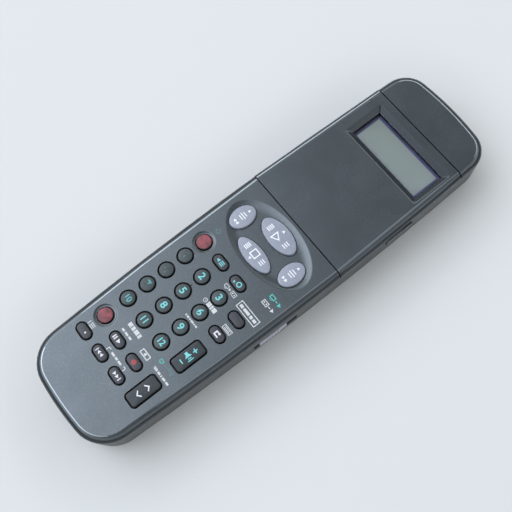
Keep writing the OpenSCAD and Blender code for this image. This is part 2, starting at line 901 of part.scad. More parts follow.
module contact_strips() {
    h = glass_z - display_board_top;
    color([0.35, 0.3, 0.3]) for (side = [-1, 1])
        translate([window_x, display_y + side * (glass_h - strip_w) / 2, display_board_top + h / 2])
            cube([glass_w - strip_w, strip_w, h], center = true);
}

module display_board() {
    color([0.25, 0.42, 0.3]) intersection() {
        inside(board_inset, display_board_z, display_board_top);
        block(-far, far, lid_start + deck_step, head_screw_y - post_r - deck_step, 0, far);
    }
}

module controller_chip() {
    color([0.1, 0.1, 0.11]) translate([0, (lid_start + display_y) / 2, display_board_z - chip_t / 2])
        cube([chip_side, chip_side, chip_t], center = true);
}

module keypad_board() {
    color([0.5, 0.38, 0.2]) difference() {
        intersection() {
            inside(board_inset, keypad_board_z, keypad_board_top);
            block(-far, far, -far, lid_start - lid_gap - board_step, 0, far);
        }
        post_holes();
        block(-far, boss_edge + board_gap, lid_start - pin_reach - 3, far, 0, far);
    }
}

module board_ribbon() {
    t = ribbon_t;
    y1 = lid_start - lid_gap - board_step;
    y0 = y1 - ribbon_lap;
    y2 = lid_start + deck_step;
    y3 = y2 + ribbon_lap;
    high = keypad_board_z;
    low = display_board_z;
    color([0.75, 0.7, 0.55]) translate([ribbon_x, 0, 0]) rotate([90, 0, 90]) linear_extrude(ribbon_w)
        polygon([
            [y0, high - t], [y1 - t, high - t], [y2 - t, low - t], [y3, low - t],
            [y3, low], [y2, low], [y1, high], [y0, high]
        ]);
}

module pill_holes(keys) {
    for (key = keys) translate([key.x, key.y]) cylinder(d = pill_d + 2 * pill_gap, h = far);
}

module post_holes() {
    for (place = screw_places)
        translate([place.x, place.y, 0]) cylinder(r = post_r + board_gap, h = far);
}

face_pills = concat(
    round_keys, oval_keys, [for (key = transport_keys) [key[0], key[1]]],
    [for (key = rocker_keys, side = [-1, 1]) [key.x, key.y + side * rocker_pill]]
);

module keypad_sheet() {
    color(rubber_black) difference() {
        intersection() {
            inside(board_inset, keypad_board_top, keypad_board_top + sheet_t);
            block(-sheet_half, sheet_half, -far, lid_start - lid_gap - board_step, 0, far);
        }
        pill_holes(face_pills);
        post_holes();
    }
}

module program_sheet() {
    color(rubber_black) difference() {
        block(-program_sheet_half, program_sheet_half, program_y - sheet_edge,
            program_row(1) + sheet_edge, display_board_top, display_board_top + sheet_t);
        pill_holes(program_keys);
    }
}

module contact_pads() {
    color([0.1, 0.1, 0.1]) {
        for (key = face_pills)
            translate([key.x, key.y, keypad_board_top]) cylinder(d = pill_d, h = pad_t);
        for (key = program_keys)
            translate([key.x, key.y, display_board_top]) cylinder(d = pill_d, h = pad_t);
    }
}

// Rings of a key cap: straight sides, a rounded edge and a slightly crowned top.
function cap_rings(w, h, r, z0, z1, scheme) =
    let (
        narrow = min(w, h),
        levels = [
            [0, z0], [0, z1 - key_crown - key_edge], [-0.27 * key_edge, z1 - key_crown - 0.44 * key_edge],
            [-0.9 * key_edge, z1 - key_crown], [-narrow / 5, z1 - key_crown / 4], [-narrow / 2.6, z1]
        ]
    )
    [for (level = levels) lifted(key_outline(w, h, r, level[0], scheme), level[1])];
function key_outline(w, h, r, grow, scheme) =
    scheme == "ellipse"
        ? ellipse_outline(w + 2 * grow, h + 2 * grow)
        : rounded_outline(w + 2 * grow, h + 2 * grow, max(r + grow, 0.1));

module flange_of(w, h, r, scheme, z0, t = flange_t) {
    translate([0, 0, z0]) linear_extrude(t) polygon(key_outline(w, h, r, key_flange, scheme));
}

module shaped_key(x, y, w, h, r, scheme) {
    flange_z = flange_top - flange_t;
    translate([x, y]) {
        skin(cap_rings(w, h, r, flange_z, body_height + key_rise, scheme));
        flange_of(w, h, r, scheme, flange_z);
        translate([0, 0, key_foot]) cylinder(d = pill_d, h = flange_z - key_foot + small);
    }
}

module round_key(x, y, d, bottom, flange_z, top) {
    r = d / 2;
    translate([x, y]) {
        rotate_extrude() polygon(concat(
            [[0, flange_z], [r, flange_z], [r, top - key_crown - key_edge]],
            arc([r - key_edge, top - key_crown - key_edge], key_edge, 0, 80, 4),
            [[r / 2, top - key_crown / 4], [0, top]]
        ));
        translate([0, 0, flange_z]) cylinder(r = r + key_flange, h = flange_t);
        translate([0, 0, bottom]) cylinder(d = pill_d, h = flange_z - bottom + small);
    }
}

module oval_key(i) color(rubber_plum)
    shaped_key(oval_keys[i].x, oval_keys[i].y, oval_w, oval_h, oval_h / 2, "rounded");
module transport_key(i) color(lavender)
    shaped_key(transport_keys[i][0], transport_keys[i][1], transport_keys[i][2], transport_keys[i][3], 0,
        "ellipse");
module number_key(i) color(rubber_black)
    round_key(round_keys[i].x, round_keys[i].y, number_d, key_foot, flange_top - flange_t,
        body_height + key_rise);
module power_key(i) color(power_rose)
    round_key(round_keys[i].x, round_keys[i].y, power_d, key_foot, flange_top - flange_t,
        body_height + key_rise);

// A rocker tips about the ridge in the middle of its flange.
module rocker(i) color(rubber_plum) {
    flange_z = face_under - rocker_drop - rocker_flange;
    translate([rocker_keys[i].x, rocker_keys[i].y]) {
        skin(cap_rings(rocker_w, rocker_h, rocker_corner, flange_z, body_height + key_rise, "rounded"));
        flange_of(rocker_w, rocker_h, rocker_corner, "rounded", flange_z, rocker_flange);
        block(-rocker_w / 2 - key_flange, rocker_w / 2 + key_flange, -rocker_ridge, rocker_ridge,
            flange_z, flange_top);
        for (side = [-1, 1])
            translate([0, side * rocker_pill, rocker_foot])
                cylinder(d = pill_d, h = flange_z - rocker_foot + small);
    }
}

module program_key(i) color(rubber_plum) {
    top = deck_top + program_rise;
    flange_z = deck_under - key_slack - flange_t;
    foot = display_board_top + key_travel + pad_t + press_room;
    translate([program_keys[i].x, program_keys[i].y]) {
        skin(cap_rings(oval_w, oval_h, oval_h / 2, flange_z, top, "rounded"));
        flange_of(oval_w, oval_h, oval_h / 2, "rounded", flange_z);
        translate([0, 0, foot]) cylinder(d = pill_d, h = flange_z - foot + small);
    }
}

module switch_slot() {
    block(slot_depth, far, slot_start, slot_start + slot_length, slot_z - slot_height / 2,
        slot_z + slot_height / 2);
}

module switch_knob() {
    half = slot_height / 2 - knob_slack;
    side = half_width_at(knob_y) - draft_inset(slot_z);
    color([0.72, 0.73, 0.80]) {
        block(side - knob_plate, side + knob_proud, knob_y, knob_y + knob_length, slot_z - half,
            slot_z + half);
        block(switch_x1 - knob_stem_half, side - knob_plate + small, knob_middle - knob_stem / 2,
            knob_middle + knob_stem / 2, slot_z - knob_stem_half, slot_z + knob_stem_half);
    }
}

// The switch that the knob moves, with the track that the knob's stem runs in.
module switch_body() {
    middle = knob_middle + knob_travel / 2;
    track = knob_travel / 2 + knob_stem / 2 + board_gap + fit_gap;
    color([0.6, 0.6, 0.62]) difference() {
        block(switch_x0, switch_x1, middle - switch_half, middle + switch_half, slot_z - switch_drop,
            keypad_board_z);
        block(switch_x1 - switch_track, far, middle - track, middle + track, slot_z - switch_track,
            slot_z + switch_track);
    }
}

module infrared_hole() {
    block(-ir_w / 2, ir_w / 2, half_length - 4 * wall, far, ir_z - ir_h / 2, ir_z + ir_h / 2);
}

module infrared_window() {
    g = fit_gap;
    color([0.2, 0.05, 0.07]) difference() {
        intersection() {
            lower_form();
            block(g - ir_w / 2, ir_w / 2 - g, 0, far, ir_z - ir_h / 2 + g, ir_z + ir_h / 2 - g);
        }
        inside(wall + draft_inset(wall), 0, far);
    }
}

module infrared_diodes() {
    r = led_d / 2;
    half = led_lead / 2;
    foot = led_back - led_lead_run;
    color([0.45, 0.4, 0.5]) for (x = [-led_pitch / 2, led_pitch / 2]) {
        translate([x, led_back, ir_z]) rotate([-90, 0, 0]) {
            cylinder(r = r + led_rim, h = 1);
            cylinder(r = r, h = led_length - r);
            translate([0, 0, led_length - r]) sphere(r);
        }
        for (side = [-1, 1]) translate([x + side * led_lead_x, 0, 0]) {
            block(-half, half, foot, led_back + small, ir_z - half, ir_z + half);
            block(-half, half, foot - led_lead, foot + small, ir_z - half, display_board_z);
        }
    }
}

// One cell; turned round, its nub points to the tail.
module cell(x, turned) {
    foot = turned ? bay_end - plate_t - spring_length : bay_start + plate_t + spring_length;
    translate([x, foot, cell_z]) rotate([turned ? 90 : -90, 0, 0]) rotate_extrude() polygon([
        [0, 0], [cell_d / 2 - cell_edge, 0], [cell_d / 2, cell_edge], [cell_d / 2, cell_length - cell_edge],
        [cell_d / 2 - cell_edge, cell_length], [nub_d / 2, cell_length], [nub_d / 2, cell_length + nub_h],
        [0, cell_length + nub_h]
    ]);
}

module battery_left() color([0.2, 0.24, 0.3]) cell(-cell_x, false);
module battery_right() color([0.2, 0.24, 0.3]) cell(cell_x, true);

// A cone of wire that presses on the flat end of a cell.
function spring_point(t) =
    let (r = spring_foot_r + (spring_tip_r - spring_foot_r) * t, a = 360 * spring_turns * t)
    [r * cos(a), r * sin(a), spring_wire / 2 + t * (spring_length - spring_wire)];
spring_steps = turn_steps * spring_turns;
spring_path = [for (i = [0:spring_steps]) spring_point(i / spring_steps)];
function wire_ring(path, i) =
    let (
        before = path[max(i - 1, 0)],
        after = path[min(i + 1, len(path) - 1)],
        along = (after - before) / norm(after - before),
        flat = cross([0, 0, 1], along),
        out = flat / norm(flat),
        up = cross(along, out)
    )
    [for (j = [0:5]) path[i] + spring_wire / 2 * (cos(60 * j) * out + sin(60 * j) * up)];

module spring() skin([for (i = [0:len(spring_path) - 1]) wire_ring(spring_path, i)]);

module battery_springs() {
    color(steel) {
        translate([-cell_x, bay_start + plate_t, cell_z]) rotate([-90, 0, 0]) spring();
        translate([cell_x, bay_end - plate_t, cell_z]) rotate([90, 0, 0]) spring();
    }
}

module battery_plates() {
    w = plate_half;
    color(steel) for (x = [-cell_x, cell_x], y = [bay_start, bay_end - plate_t])
        block(x - w, x + w, y, y + plate_t, cell_z - w, cell_z + w);
}

module case_screws() {
    shank = screw_tip - screw_seat - 1;
    color(steel) for (place = screw_places) translate([place.x, place.y, screw_seat]) {
        difference() {
            translate([0, 0, -screw_head_h]) cylinder(d = screw_head_d, h = screw_head_h);
            for (turn = [0, 90]) translate([0, 0, -screw_head_h]) rotate(turn)
                cube([0.6 * screw_head_d, 0.14 * screw_head_d, screw_head_h], center = true);
        }
        translate([0, 0, -small]) cylinder(d = screw_d, h = shank);
        translate([0, 0, shank - 2 * small]) cylinder(d1 = screw_d, d2 = screw_d / 3, h = 1);
    }
}

module rewind_key() transport_key(0);
module play_key() transport_key(1);
module stop_key() transport_key(2);
module forward_key() transport_key(3);
module upper_power_key() power_key(12);
module lower_power_key() power_key(13);
module tuner_key() oval_key(0);
module satellite_key() oval_key(1);
module display_key() oval_key(2);
module page_key() oval_key(3);
module volume_rocker() rocker(0);
module channel_rocker() rocker(1);
module pause_key() oval_key(4);
module record_key() oval_key(5);
module memory_key() oval_key(6);
module skip_back_key() oval_key(7);
module skip_on_key() oval_key(8);

upper_case();
lower_case();
lid();
hinge_pins();
battery_cover();
display_lens();
display_glass();
display_holder();
contact_strips();
display_board();
controller_chip();
keypad_board();
board_ribbon();
keypad_sheet();
program_sheet();
contact_pads();
switch_knob();
switch_body();
infrared_window();
infrared_diodes();
battery_left();
battery_right();
battery_springs();
battery_plates();
case_screws();
rewind_key();
play_key();
stop_key();
forward_key();
upper_power_key();
lower_power_key();
tuner_key();
satellite_key();
display_key();
page_key();
volume_rocker();
channel_rocker();
pause_key();
record_key();
memory_key();
skip_back_key();
skip_on_key();
number_key(0);  // number_key_1
number_key(1);  // number_key_2
number_key(2);  // number_key_3
number_key(3);  // number_key_4
number_key(4);  // number_key_5
number_key(5);  // number_key_6
number_key(6);  // number_key_7
number_key(7);  // number_key_8
number_key(8);  // number_key_9
number_key(9);  // number_key_10
number_key(10);  // number_key_11
number_key(11);  // number_key_12
program_key(0);  // program_key_1
program_key(1);  // program_key_2
program_key(2);  // program_key_3
program_key(3);  // program_key_4
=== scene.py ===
# Looks of a hand-held infrared remote control that lies face up on a pale table.
# Shapes are worked out in millimetres and brought to metres when a piece is finished.
import math

import bmesh
import bpy
from mathutils import Matrix, Vector
from mathutils.bvhtree import BVHTree


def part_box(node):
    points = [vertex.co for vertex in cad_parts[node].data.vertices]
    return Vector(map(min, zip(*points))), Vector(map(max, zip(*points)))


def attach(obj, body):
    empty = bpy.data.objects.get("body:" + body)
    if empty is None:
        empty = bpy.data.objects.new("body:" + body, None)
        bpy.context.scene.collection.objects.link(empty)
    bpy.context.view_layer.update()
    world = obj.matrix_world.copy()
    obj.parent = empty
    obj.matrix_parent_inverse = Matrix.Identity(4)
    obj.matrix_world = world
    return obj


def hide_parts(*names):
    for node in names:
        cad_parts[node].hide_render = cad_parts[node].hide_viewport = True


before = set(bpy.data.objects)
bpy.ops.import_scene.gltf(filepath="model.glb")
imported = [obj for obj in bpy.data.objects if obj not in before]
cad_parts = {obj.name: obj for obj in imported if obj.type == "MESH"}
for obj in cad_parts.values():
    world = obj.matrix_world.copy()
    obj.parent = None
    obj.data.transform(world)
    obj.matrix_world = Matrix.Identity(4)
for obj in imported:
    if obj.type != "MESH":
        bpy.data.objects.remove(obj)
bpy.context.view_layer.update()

scene = bpy.context.scene

MM = 0.001
FACE = 22.5             # height of the keypad face
MERGE = 0.002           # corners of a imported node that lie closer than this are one


# ---------------------------------------------------------------- node trees

def new_group(name, inputs, outputs):
    """A node group with number sockets, and its two end nodes."""
    tree = bpy.data.node_groups.new(name, "ShaderNodeTree")
    for label, value in inputs.items():
        socket = tree.interface.new_socket(label, in_out="INPUT", socket_type="NodeSocketFloat")
        socket.default_value = value
    for label in outputs:
        tree.interface.new_socket(label, in_out="OUTPUT", socket_type="NodeSocketFloat")
    return tree, tree.nodes.new("NodeGroupInput"), tree.nodes.new("NodeGroupOutput")


def put(tree, kind, sockets=None, **settings):
    """Adds a node; a socket's value is a constant or another node's output."""
    made = tree.nodes.new(kind)
    for key, value in settings.items():
        setattr(made, key, value)
    for label, value in (sockets or {}).items():
        if isinstance(value, bpy.types.NodeSocket):
            tree.links.new(value, made.inputs[label])
        else:
            made.inputs[label].default_value = value
    return made


def spread(tree, value, low, high, to_low=0.0, to_high=1.0):
    """The value brought from low..high to to_low..to_high, and held there."""
    return put(tree, "ShaderNodeMapRange", {
        "Value": value, "From Min": low, "From Max": high, "To Min": to_low, "To Max": to_high,
    }).outputs["Result"]


def blend_colour(tree, factor, first, second):
    made = put(tree, "ShaderNodeMix", data_type="RGBA")
    for label, value in (("Factor", factor), ("A", first), ("B", second)):
        socket = next(s for s in made.inputs if s.name == label and s.enabled)
        if isinstance(value, bpy.types.NodeSocket):
            tree.links.new(value, socket)
        else:
            socket.default_value = value if label == "Factor" else (*value[:3], 1.0)
    return next(s for s in made.outputs if s.enabled)


def place_of(tree):
    return put(tree, "ShaderNodeTexCoord").outputs["Object"]


def maths(tree, operation, first, second=0.0, clamp=False):
    return put(tree, "ShaderNodeMath", {0: first, 1: second}, operation=operation, use_clamp=clamp).outputs[0]


# Moulded grain: fine pits for the bump and slow patches for the shade.
grain_group, source, sink = new_group("moulded_grain", {"Scale": 3000.0, "Patch": 60.0}, ("Height", "Shade"))
fine = put(grain_group, "ShaderNodeTexNoise", {
    "Vector": place_of(grain_group), "Scale": source.outputs["Scale"], "Detail": 3.0, "Roughness": 0.6,
})
slow = put(grain_group, "ShaderNodeTexNoise", {
    "Vector": place_of(grain_group), "Scale": source.outputs["Patch"], "Detail": 2.0,
})
grain_group.links.new(fine.outputs["Fac"], sink.inputs["Height"])
grain_group.links.new(spread(grain_group, slow.outputs["Fac"], 0.3, 0.7), sink.inputs["Shade"])

# Flakes in a metallic paint: a share of the cells catches the light, some more than others.
flake_group, source, sink = new_group("paint_flakes", {"Scale": 5000.0, "Share": 0.2}, ("Sparkle",))
cells = put(flake_group, "ShaderNodeTexVoronoi", {
    "Vector": place_of(flake_group), "Scale": source.outputs["Scale"],
})
tone = put(flake_group, "ShaderNodeSeparateColor", {"Color": cells.outputs["Color"]})
flakes = maths(flake_group, "LESS_THAN", tone.outputs["Red"], source.outputs["Share"])
flake_group.links.new(maths(flake_group, "MULTIPLY", flakes, tone.outputs["Green"]), sink.inputs["Sparkle"])

# Handling: soft greasy patches and fine dust.
hand_group, source, sink = new_group("handling_marks", {"Scale": 45.0}, ("Grease", "Dust"))
patches = put(hand_group, "ShaderNodeTexNoise", {
    "Vector": place_of(hand_group), "Scale": source.outputs["Scale"], "Detail": 4.0, "Distortion": 0.6,
})
specks = put(hand_group, "ShaderNodeTexNoise", {
    "Vector": place_of(hand_group), "Scale": 2600.0, "Detail": 2.0,
})
hand_group.links.new(spread(hand_group, patches.outputs["Fac"], 0.35, 0.68), sink.inputs["Grease"])
hand_group.links.new(spread(hand_group, specks.outputs["Fac"], 0.66, 0.74), sink.inputs["Dust"])

# Wear along edges: where a rounded copy of the normal leaves the real one, broken up by noise.
wear_group, source, sink = new_group("edge_wear", {"Width": 0.0004, "Break": 900.0}, ("Mask",))
rounded = put(wear_group, "ShaderNodeBevel", {"Radius": source.outputs["Width"]}, samples=4)
real = put(wear_group, "ShaderNodeNewGeometry")
turn = put(wear_group, "ShaderNodeVectorMath", {0: rounded.outputs["Normal"], 1: real.outputs["Normal"]},
           operation="DOT_PRODUCT")
edge = spread(wear_group, turn.outputs["Value"], 0.985, 0.82)
broken = put(wear_group, "ShaderNodeTexNoise", {
    "Vector": place_of(wear_group), "Scale": source.outputs["Break"], "Detail": 3.0,
})
patchy = spread(wear_group, broken.outputs["Fac"], 0.4, 0.62)
wear_group.links.new(maths(wear_group, "MULTIPLY", edge, patchy, clamp=True), sink.inputs["Mask"])

# Where the flat face turns down near the outline: a painted highlight line first, then painted shade on the
# skirt.
# The window's slope at the head side is the sill, which looks away from the light and gets painted shade.
rim_light_group, source, sink = new_group("painted_rim_light", {"Side": 0.0255, "End": 0.0975, "Window": 0.0765},
                                     ("Line", "Skirt_Shade", "Sill_Shade"))
upright = put(rim_light_group, "ShaderNodeSeparateXYZ", {
    "Vector": put(rim_light_group, "ShaderNodeTexCoord").outputs["Normal"],
})
facing = upright.outputs["Z"]
highlight_band = maths(rim_light_group, "MULTIPLY", spread(rim_light_group, facing, 0.998, 0.991),
              spread(rim_light_group, facing, 0.945, 0.965))
place = put(rim_light_group, "ShaderNodeSeparateXYZ", {"Vector": place_of(rim_light_group)})
beyond = [maths(rim_light_group, "GREATER_THAN", maths(rim_light_group, "ABSOLUTE", place.outputs[axis]),
                source.outputs[limit]) for axis, limit in (("X", "Side"), ("Y", "End"))]
margin = maths(rim_light_group, "MAXIMUM", *beyond)
rim_light_group.links.new(maths(rim_light_group, "MULTIPLY", highlight_band, margin, clamp=True), sink.inputs["Line"])
rim_light_group.links.new(spread(rim_light_group, facing, 0.95, 0.84), sink.inputs["Skirt_Shade"])
leaning = spread(rim_light_group, upright.outputs["Y"], -0.10, -0.25)
ahead = maths(rim_light_group, "GREATER_THAN", place.outputs["Y"], source.outputs["Window"])
rim_light_group.links.new(maths(rim_light_group, "MULTIPLY", leaning, ahead), sink.inputs["Sill_Shade"])

# The dark edges of the two gaps that run across the face at the ends of the lid.
gap_group, source, sink = new_group("gap_shade", {"Start": 0.017725, "End": 0.087675, "Half": 0.00026},
                                    ("Mask",))
along = put(gap_group, "ShaderNodeSeparateXYZ", {"Vector": place_of(gap_group)}).outputs["Y"]
close = []
for limit in ("Start", "End"):
    away = maths(gap_group, "ABSOLUTE", maths(gap_group, "SUBTRACT", along, source.outputs[limit]))
    close.append(maths(gap_group, "LESS_THAN", away, source.outputs["Half"]))
gap_group.links.new(maths(gap_group, "MAXIMUM", *close), sink.inputs["Mask"])

# Rubbed print: 1 where the print is gone.
rub_group, source, sink = new_group("rubbed_print", {"Amount": 0.3, "Scale": 700.0}, ("Gone",))
rubbing = put(rub_group, "ShaderNodeTexNoise", {
    "Vector": place_of(rub_group), "Scale": source.outputs["Scale"], "Detail": 4.0,
})
over = maths(rub_group, "SUBTRACT", source.outputs["Amount"], rubbing.outputs["Fac"])
rub_group.links.new(spread(rub_group, over, -0.03, 0.05), sink.inputs["Gone"])


def grouped(tree, group, **values):
    """The outputs of a node group that is placed in a material with its own values."""
    return put(tree, "ShaderNodeGroup", values, node_tree=group).outputs


# ---------------------------------------------------------------- materials

DUST = (0.5, 0.5, 0.49)
GAP_SHADE = (0.008, 0.009, 0.010)
SILL_SHADE = (0.030, 0.034, 0.038)    # painted shade on the window's slope at the head side
GRAIN_DEPTH = 0.00003
# Painted highlight for the rim and painted shade for the sides, for a face and for keys; the painted shade
# keeps the sides of the gap round a key dark.
FACE_RIM_HIGHLIGHT_AND_SHADE = ((0.34, 0.38, 0.41), (0.062, 0.072, 0.080))
KEY_RIM_HIGHLIGHT_AND_SHADE = ((0.05, 0.05, 0.055), (0.010, 0.011, 0.012))
# What shows where a print is rubbed away: the face, a dark key, a number key, a transport key.
FACE_GROUND = (0.11, 0.12, 0.13)
KEY_GROUND = (0.060, 0.057, 0.070)
NUMBER_GROUND = (0.042, 0.052, 0.058)
TRANSPORT_GROUND = (0.34, 0.35, 0.42)


def new_material(name):
    """A material, its node tree and its shader."""
    made = bpy.data.materials.new(name)
    made.use_nodes = True
    return made, made.node_tree, made.node_tree.nodes["Principled BSDF"]


def moulded(name, dark, light, rough=(0.4, 0.5), grain=3000.0, bump=0.08, patch=60.0, flake=None,
            flake_tone=None, wear=None, dust=0.25, rim_highlight_and_shade=None, **plain):
    """A moulded or painted surface: two slow tones, then what is asked for of paint flakes, a painted
    highlight and painted shade where the face turns down at its rim, painted shade in the lid's gaps, and
    worn edges, with dust, grease and a fine grain over it all.
    """
    made, tree, shader = new_material(name)
    for label, value in plain.items():
        shader.inputs[label.replace("_", " ")].default_value = value
    grains = grouped(tree, grain_group, Scale=grain, Patch=patch)
    hands = grouped(tree, hand_group)
    colour = blend_colour(tree, grains["Shade"], dark, light)
    if flake:
        colour = blend_colour(tree, grouped(tree, flake_group, Share=flake)["Sparkle"], colour, flake_tone)
    if rim_highlight_and_shade:
        rim_lights = grouped(tree, rim_light_group)
        # Painted shade on the skirt, a painted highlight on the rim line and painted shade on the sill.
        colour = blend_colour(tree, rim_lights["Skirt_Shade"], colour, rim_highlight_and_shade[1])
        colour = blend_colour(tree, rim_lights["Line"], colour, rim_highlight_and_shade[0])
        colour = blend_colour(tree, rim_lights["Sill_Shade"], colour, SILL_SHADE)
    if wear:
        colour = blend_colour(tree, grouped(tree, wear_group)["Mask"], colour, wear)
    if rim_highlight_and_shade:
        colour = blend_colour(tree, grouped(tree, gap_group)["Mask"], colour, GAP_SHADE)
    colour = blend_colour(tree, maths(tree, "MULTIPLY", hands["Dust"], dust), colour, DUST)
    tree.links.new(colour, shader.inputs["Base Color"])
    tree.links.new(spread(tree, hands["Grease"], 0.0, 1.0, rough[1], rough[0]), shader.inputs["Roughness"])
    bumped = put(tree, "ShaderNodeBump", {"Strength": bump, "Distance": GRAIN_DEPTH,
                                          "Height": grains["Height"]})
    tree.links.new(bumped.outputs["Normal"], shader.inputs["Normal"])
    return made


def printed(name, ink, ground, gone, scale=700.0):
    """Ink that has rubbed away to the ground colour in places."""
    made, tree, shader = new_material(name)
    worn = grouped(tree, rub_group, Amount=gone, Scale=scale)["Gone"]
    tree.links.new(blend_colour(tree, worn, ink, ground), shader.inputs["Base Color"])
    tree.links.new(spread(tree, worn, 0.0, 1.0, 0.42, 0.55), shader.inputs["Roughness"])
    return made


FINISH = {
    "face": moulded("face_paint", (0.110, 0.127, 0.138), (0.122, 0.140, 0.152), rough=(0.24, 0.30),
                    flake=0.16, flake_tone=(0.165, 0.185, 0.20), wear=(0.24, 0.26, 0.28), bump=0.02,
                    dust=0.08, rim_highlight_and_shade=FACE_RIM_HIGHLIGHT_AND_SHADE, Metallic=0.8),
    "back": moulded("back_plastic", (0.070, 0.076, 0.082), (0.085, 0.092, 0.098), rough=(0.42, 0.52),
                    wear=(0.18, 0.19, 0.20), grain=2200.0, bump=0.25),
    "number": moulded("number_rubber", (0.040, 0.056, 0.062), (0.056, 0.074, 0.080), rough=(0.34, 0.46),
                      grain=4200.0, bump=0.15, rim_highlight_and_shade=KEY_RIM_HIGHLIGHT_AND_SHADE),
    "key": moulded("key_rubber", (0.040, 0.043, 0.053), (0.052, 0.055, 0.068), rough=(0.36, 0.48),
                   grain=4200.0, bump=0.15, rim_highlight_and_shade=KEY_RIM_HIGHLIGHT_AND_SHADE),
    "transport": moulded("transport_plastic", (0.27, 0.30, 0.37), (0.31, 0.34, 0.41), rough=(0.36, 0.46),
                         wear=(0.5, 0.5, 0.56), flake=0.15, flake_tone=(0.46, 0.47, 0.53), Metallic=0.15),
    "rocker": moulded("rocker_rubber", (0.020, 0.028, 0.034), (0.030, 0.039, 0.046), rough=(0.36, 0.48),
                      grain=4200.0, bump=0.15, rim_highlight_and_shade=KEY_RIM_HIGHLIGHT_AND_SHADE),
    "power": moulded("power_rubber", (0.13, 0.045, 0.055), (0.33, 0.075, 0.095), rough=(0.42, 0.56),
                     patch=420.0, grain=4200.0, bump=0.2, rim_highlight_and_shade=KEY_RIM_HIGHLIGHT_AND_SHADE),
    "knob": moulded("knob_plastic", (0.42, 0.43, 0.52), (0.50, 0.51, 0.60), rough=(0.38, 0.5),
                    wear=(0.62, 0.62, 0.68)),
    "holder": moulded("holder_plastic", (0.014, 0.015, 0.038), (0.020, 0.021, 0.052), rough=(0.45, 0.6)),
    "sheet": moulded("sheet_rubber", (0.022, 0.023, 0.026), (0.032, 0.033, 0.037), rough=(0.6, 0.7)),
    "green_board": moulded("board_green", (0.018, 0.075, 0.035), (0.03, 0.11, 0.05), rough=(0.32, 0.4),
                           patch=900.0),
    "brown_board": moulded("board_brown", (0.20, 0.12, 0.045), (0.27, 0.17, 0.07), rough=(0.45, 0.6),
                           patch=500.0),
    "chip": moulded("chip_black", (0.012, 0.012, 0.013), (0.02, 0.02, 0.021), rough=(0.5, 0.6)),
    "ribbon": moulded("ribbon_film", (0.42, 0.30, 0.12), (0.52, 0.38, 0.17), rough=(0.3, 0.4)),
    "infrared": moulded("infrared_dark", (0.030, 0.004, 0.008), (0.045, 0.007, 0.012), rough=(0.06, 0.14),
                        bump=0.0, Coat_Weight=0.6),
    "diode": moulded("diode_resin", (0.16, 0.13, 0.22), (0.22, 0.18, 0.30), rough=(0.08, 0.14), bump=0.0,
                     Transmission_Weight=0.6),
    "cell": moulded("cell_wrap", (0.030, 0.045, 0.085), (0.042, 0.060, 0.11), rough=(0.22, 0.3), bump=0.0),
    "steel": moulded("steel", (0.52, 0.52, 0.50), (0.62, 0.62, 0.60), rough=(0.22, 0.36), Metallic=1.0,
                     wear=(0.75, 0.74, 0.72), dust=0.1),
    "violet": moulded("violet_line", (0.085, 0.085, 0.25), (0.115, 0.115, 0.31), rough=(0.3, 0.4), bump=0.0),
    "white_print": printed("white_print", (0.62, 0.64, 0.66), FACE_GROUND, 0.29),
    "faint_print": printed("faint_print", (0.10, 0.26, 0.26), FACE_GROUND, 0.46),
    "teal_print": printed("teal_print", (0.08, 0.52, 0.47), FACE_GROUND, 0.26),
    "key_white": printed("key_white_print", (0.74, 0.75, 0.80), KEY_GROUND, 0.28),
    "key_teal": printed("key_teal_print", (0.19, 0.62, 0.64), NUMBER_GROUND, 0.27),
    "key_faint": printed("key_faint_print", (0.10, 0.17, 0.18), NUMBER_GROUND, 0.50),
    "key_half": printed("key_half_print", (0.13, 0.42, 0.45), NUMBER_GROUND, 0.46, 420.0),
    "pale_print": printed("pale_print", (0.88, 0.89, 0.93), TRANSPORT_GROUND, 0.28),
    "red_print": printed("red_print", (0.36, 0.055, 0.06), KEY_GROUND, 0.34),
}


def clear_lens():
    """Clear plastic with faint greasy patches."""
    made, tree, shader = new_material("lens_clear")
    shader.inputs["Base Color"].default_value = (0.93, 0.95, 0.96, 1.0)
    shader.inputs["Transmission Weight"].default_value = 1.0
    shader.inputs["IOR"].default_value = 1.49
    hands = grouped(tree, hand_group, Scale=90.0)
    tree.links.new(spread(tree, hands["Grease"], 0.0, 1.0, 0.02, 0.07), shader.inputs["Roughness"])
    return made


def display_grey():
    """Display glass: grey-green, warmer at the head and bluer towards the keypad."""
    made, tree, shader = new_material("display_grey")
    shader.inputs["Coat Weight"].default_value = 0.3
    place = put(tree, "ShaderNodeSeparateXYZ", {"Vector": place_of(tree)})
    along = spread(tree, place.outputs["Y"], 0.066, 0.082)
    across = spread(tree, place.outputs["X"], -0.018, 0.022)
    clouds = grouped(tree, grain_group, Scale=2500.0, Patch=70.0)
    colour = blend_colour(tree, along, (0.48, 0.55, 0.54), (0.38, 0.42, 0.34))
    colour = blend_colour(tree, across, colour, (0.47, 0.53, 0.52))
    colour = blend_colour(tree, clouds["Shade"], colour, (0.42, 0.47, 0.44))
    tree.links.new(colour, shader.inputs["Base Color"])
    tree.links.new(spread(tree, clouds["Height"], 0.3, 0.7, 0.25, 0.4), shader.inputs["Roughness"])
    return made


FINISH["lens"] = clear_lens()
FINISH["display"] = display_grey()


# ---------------------------------------------------------------- pieces

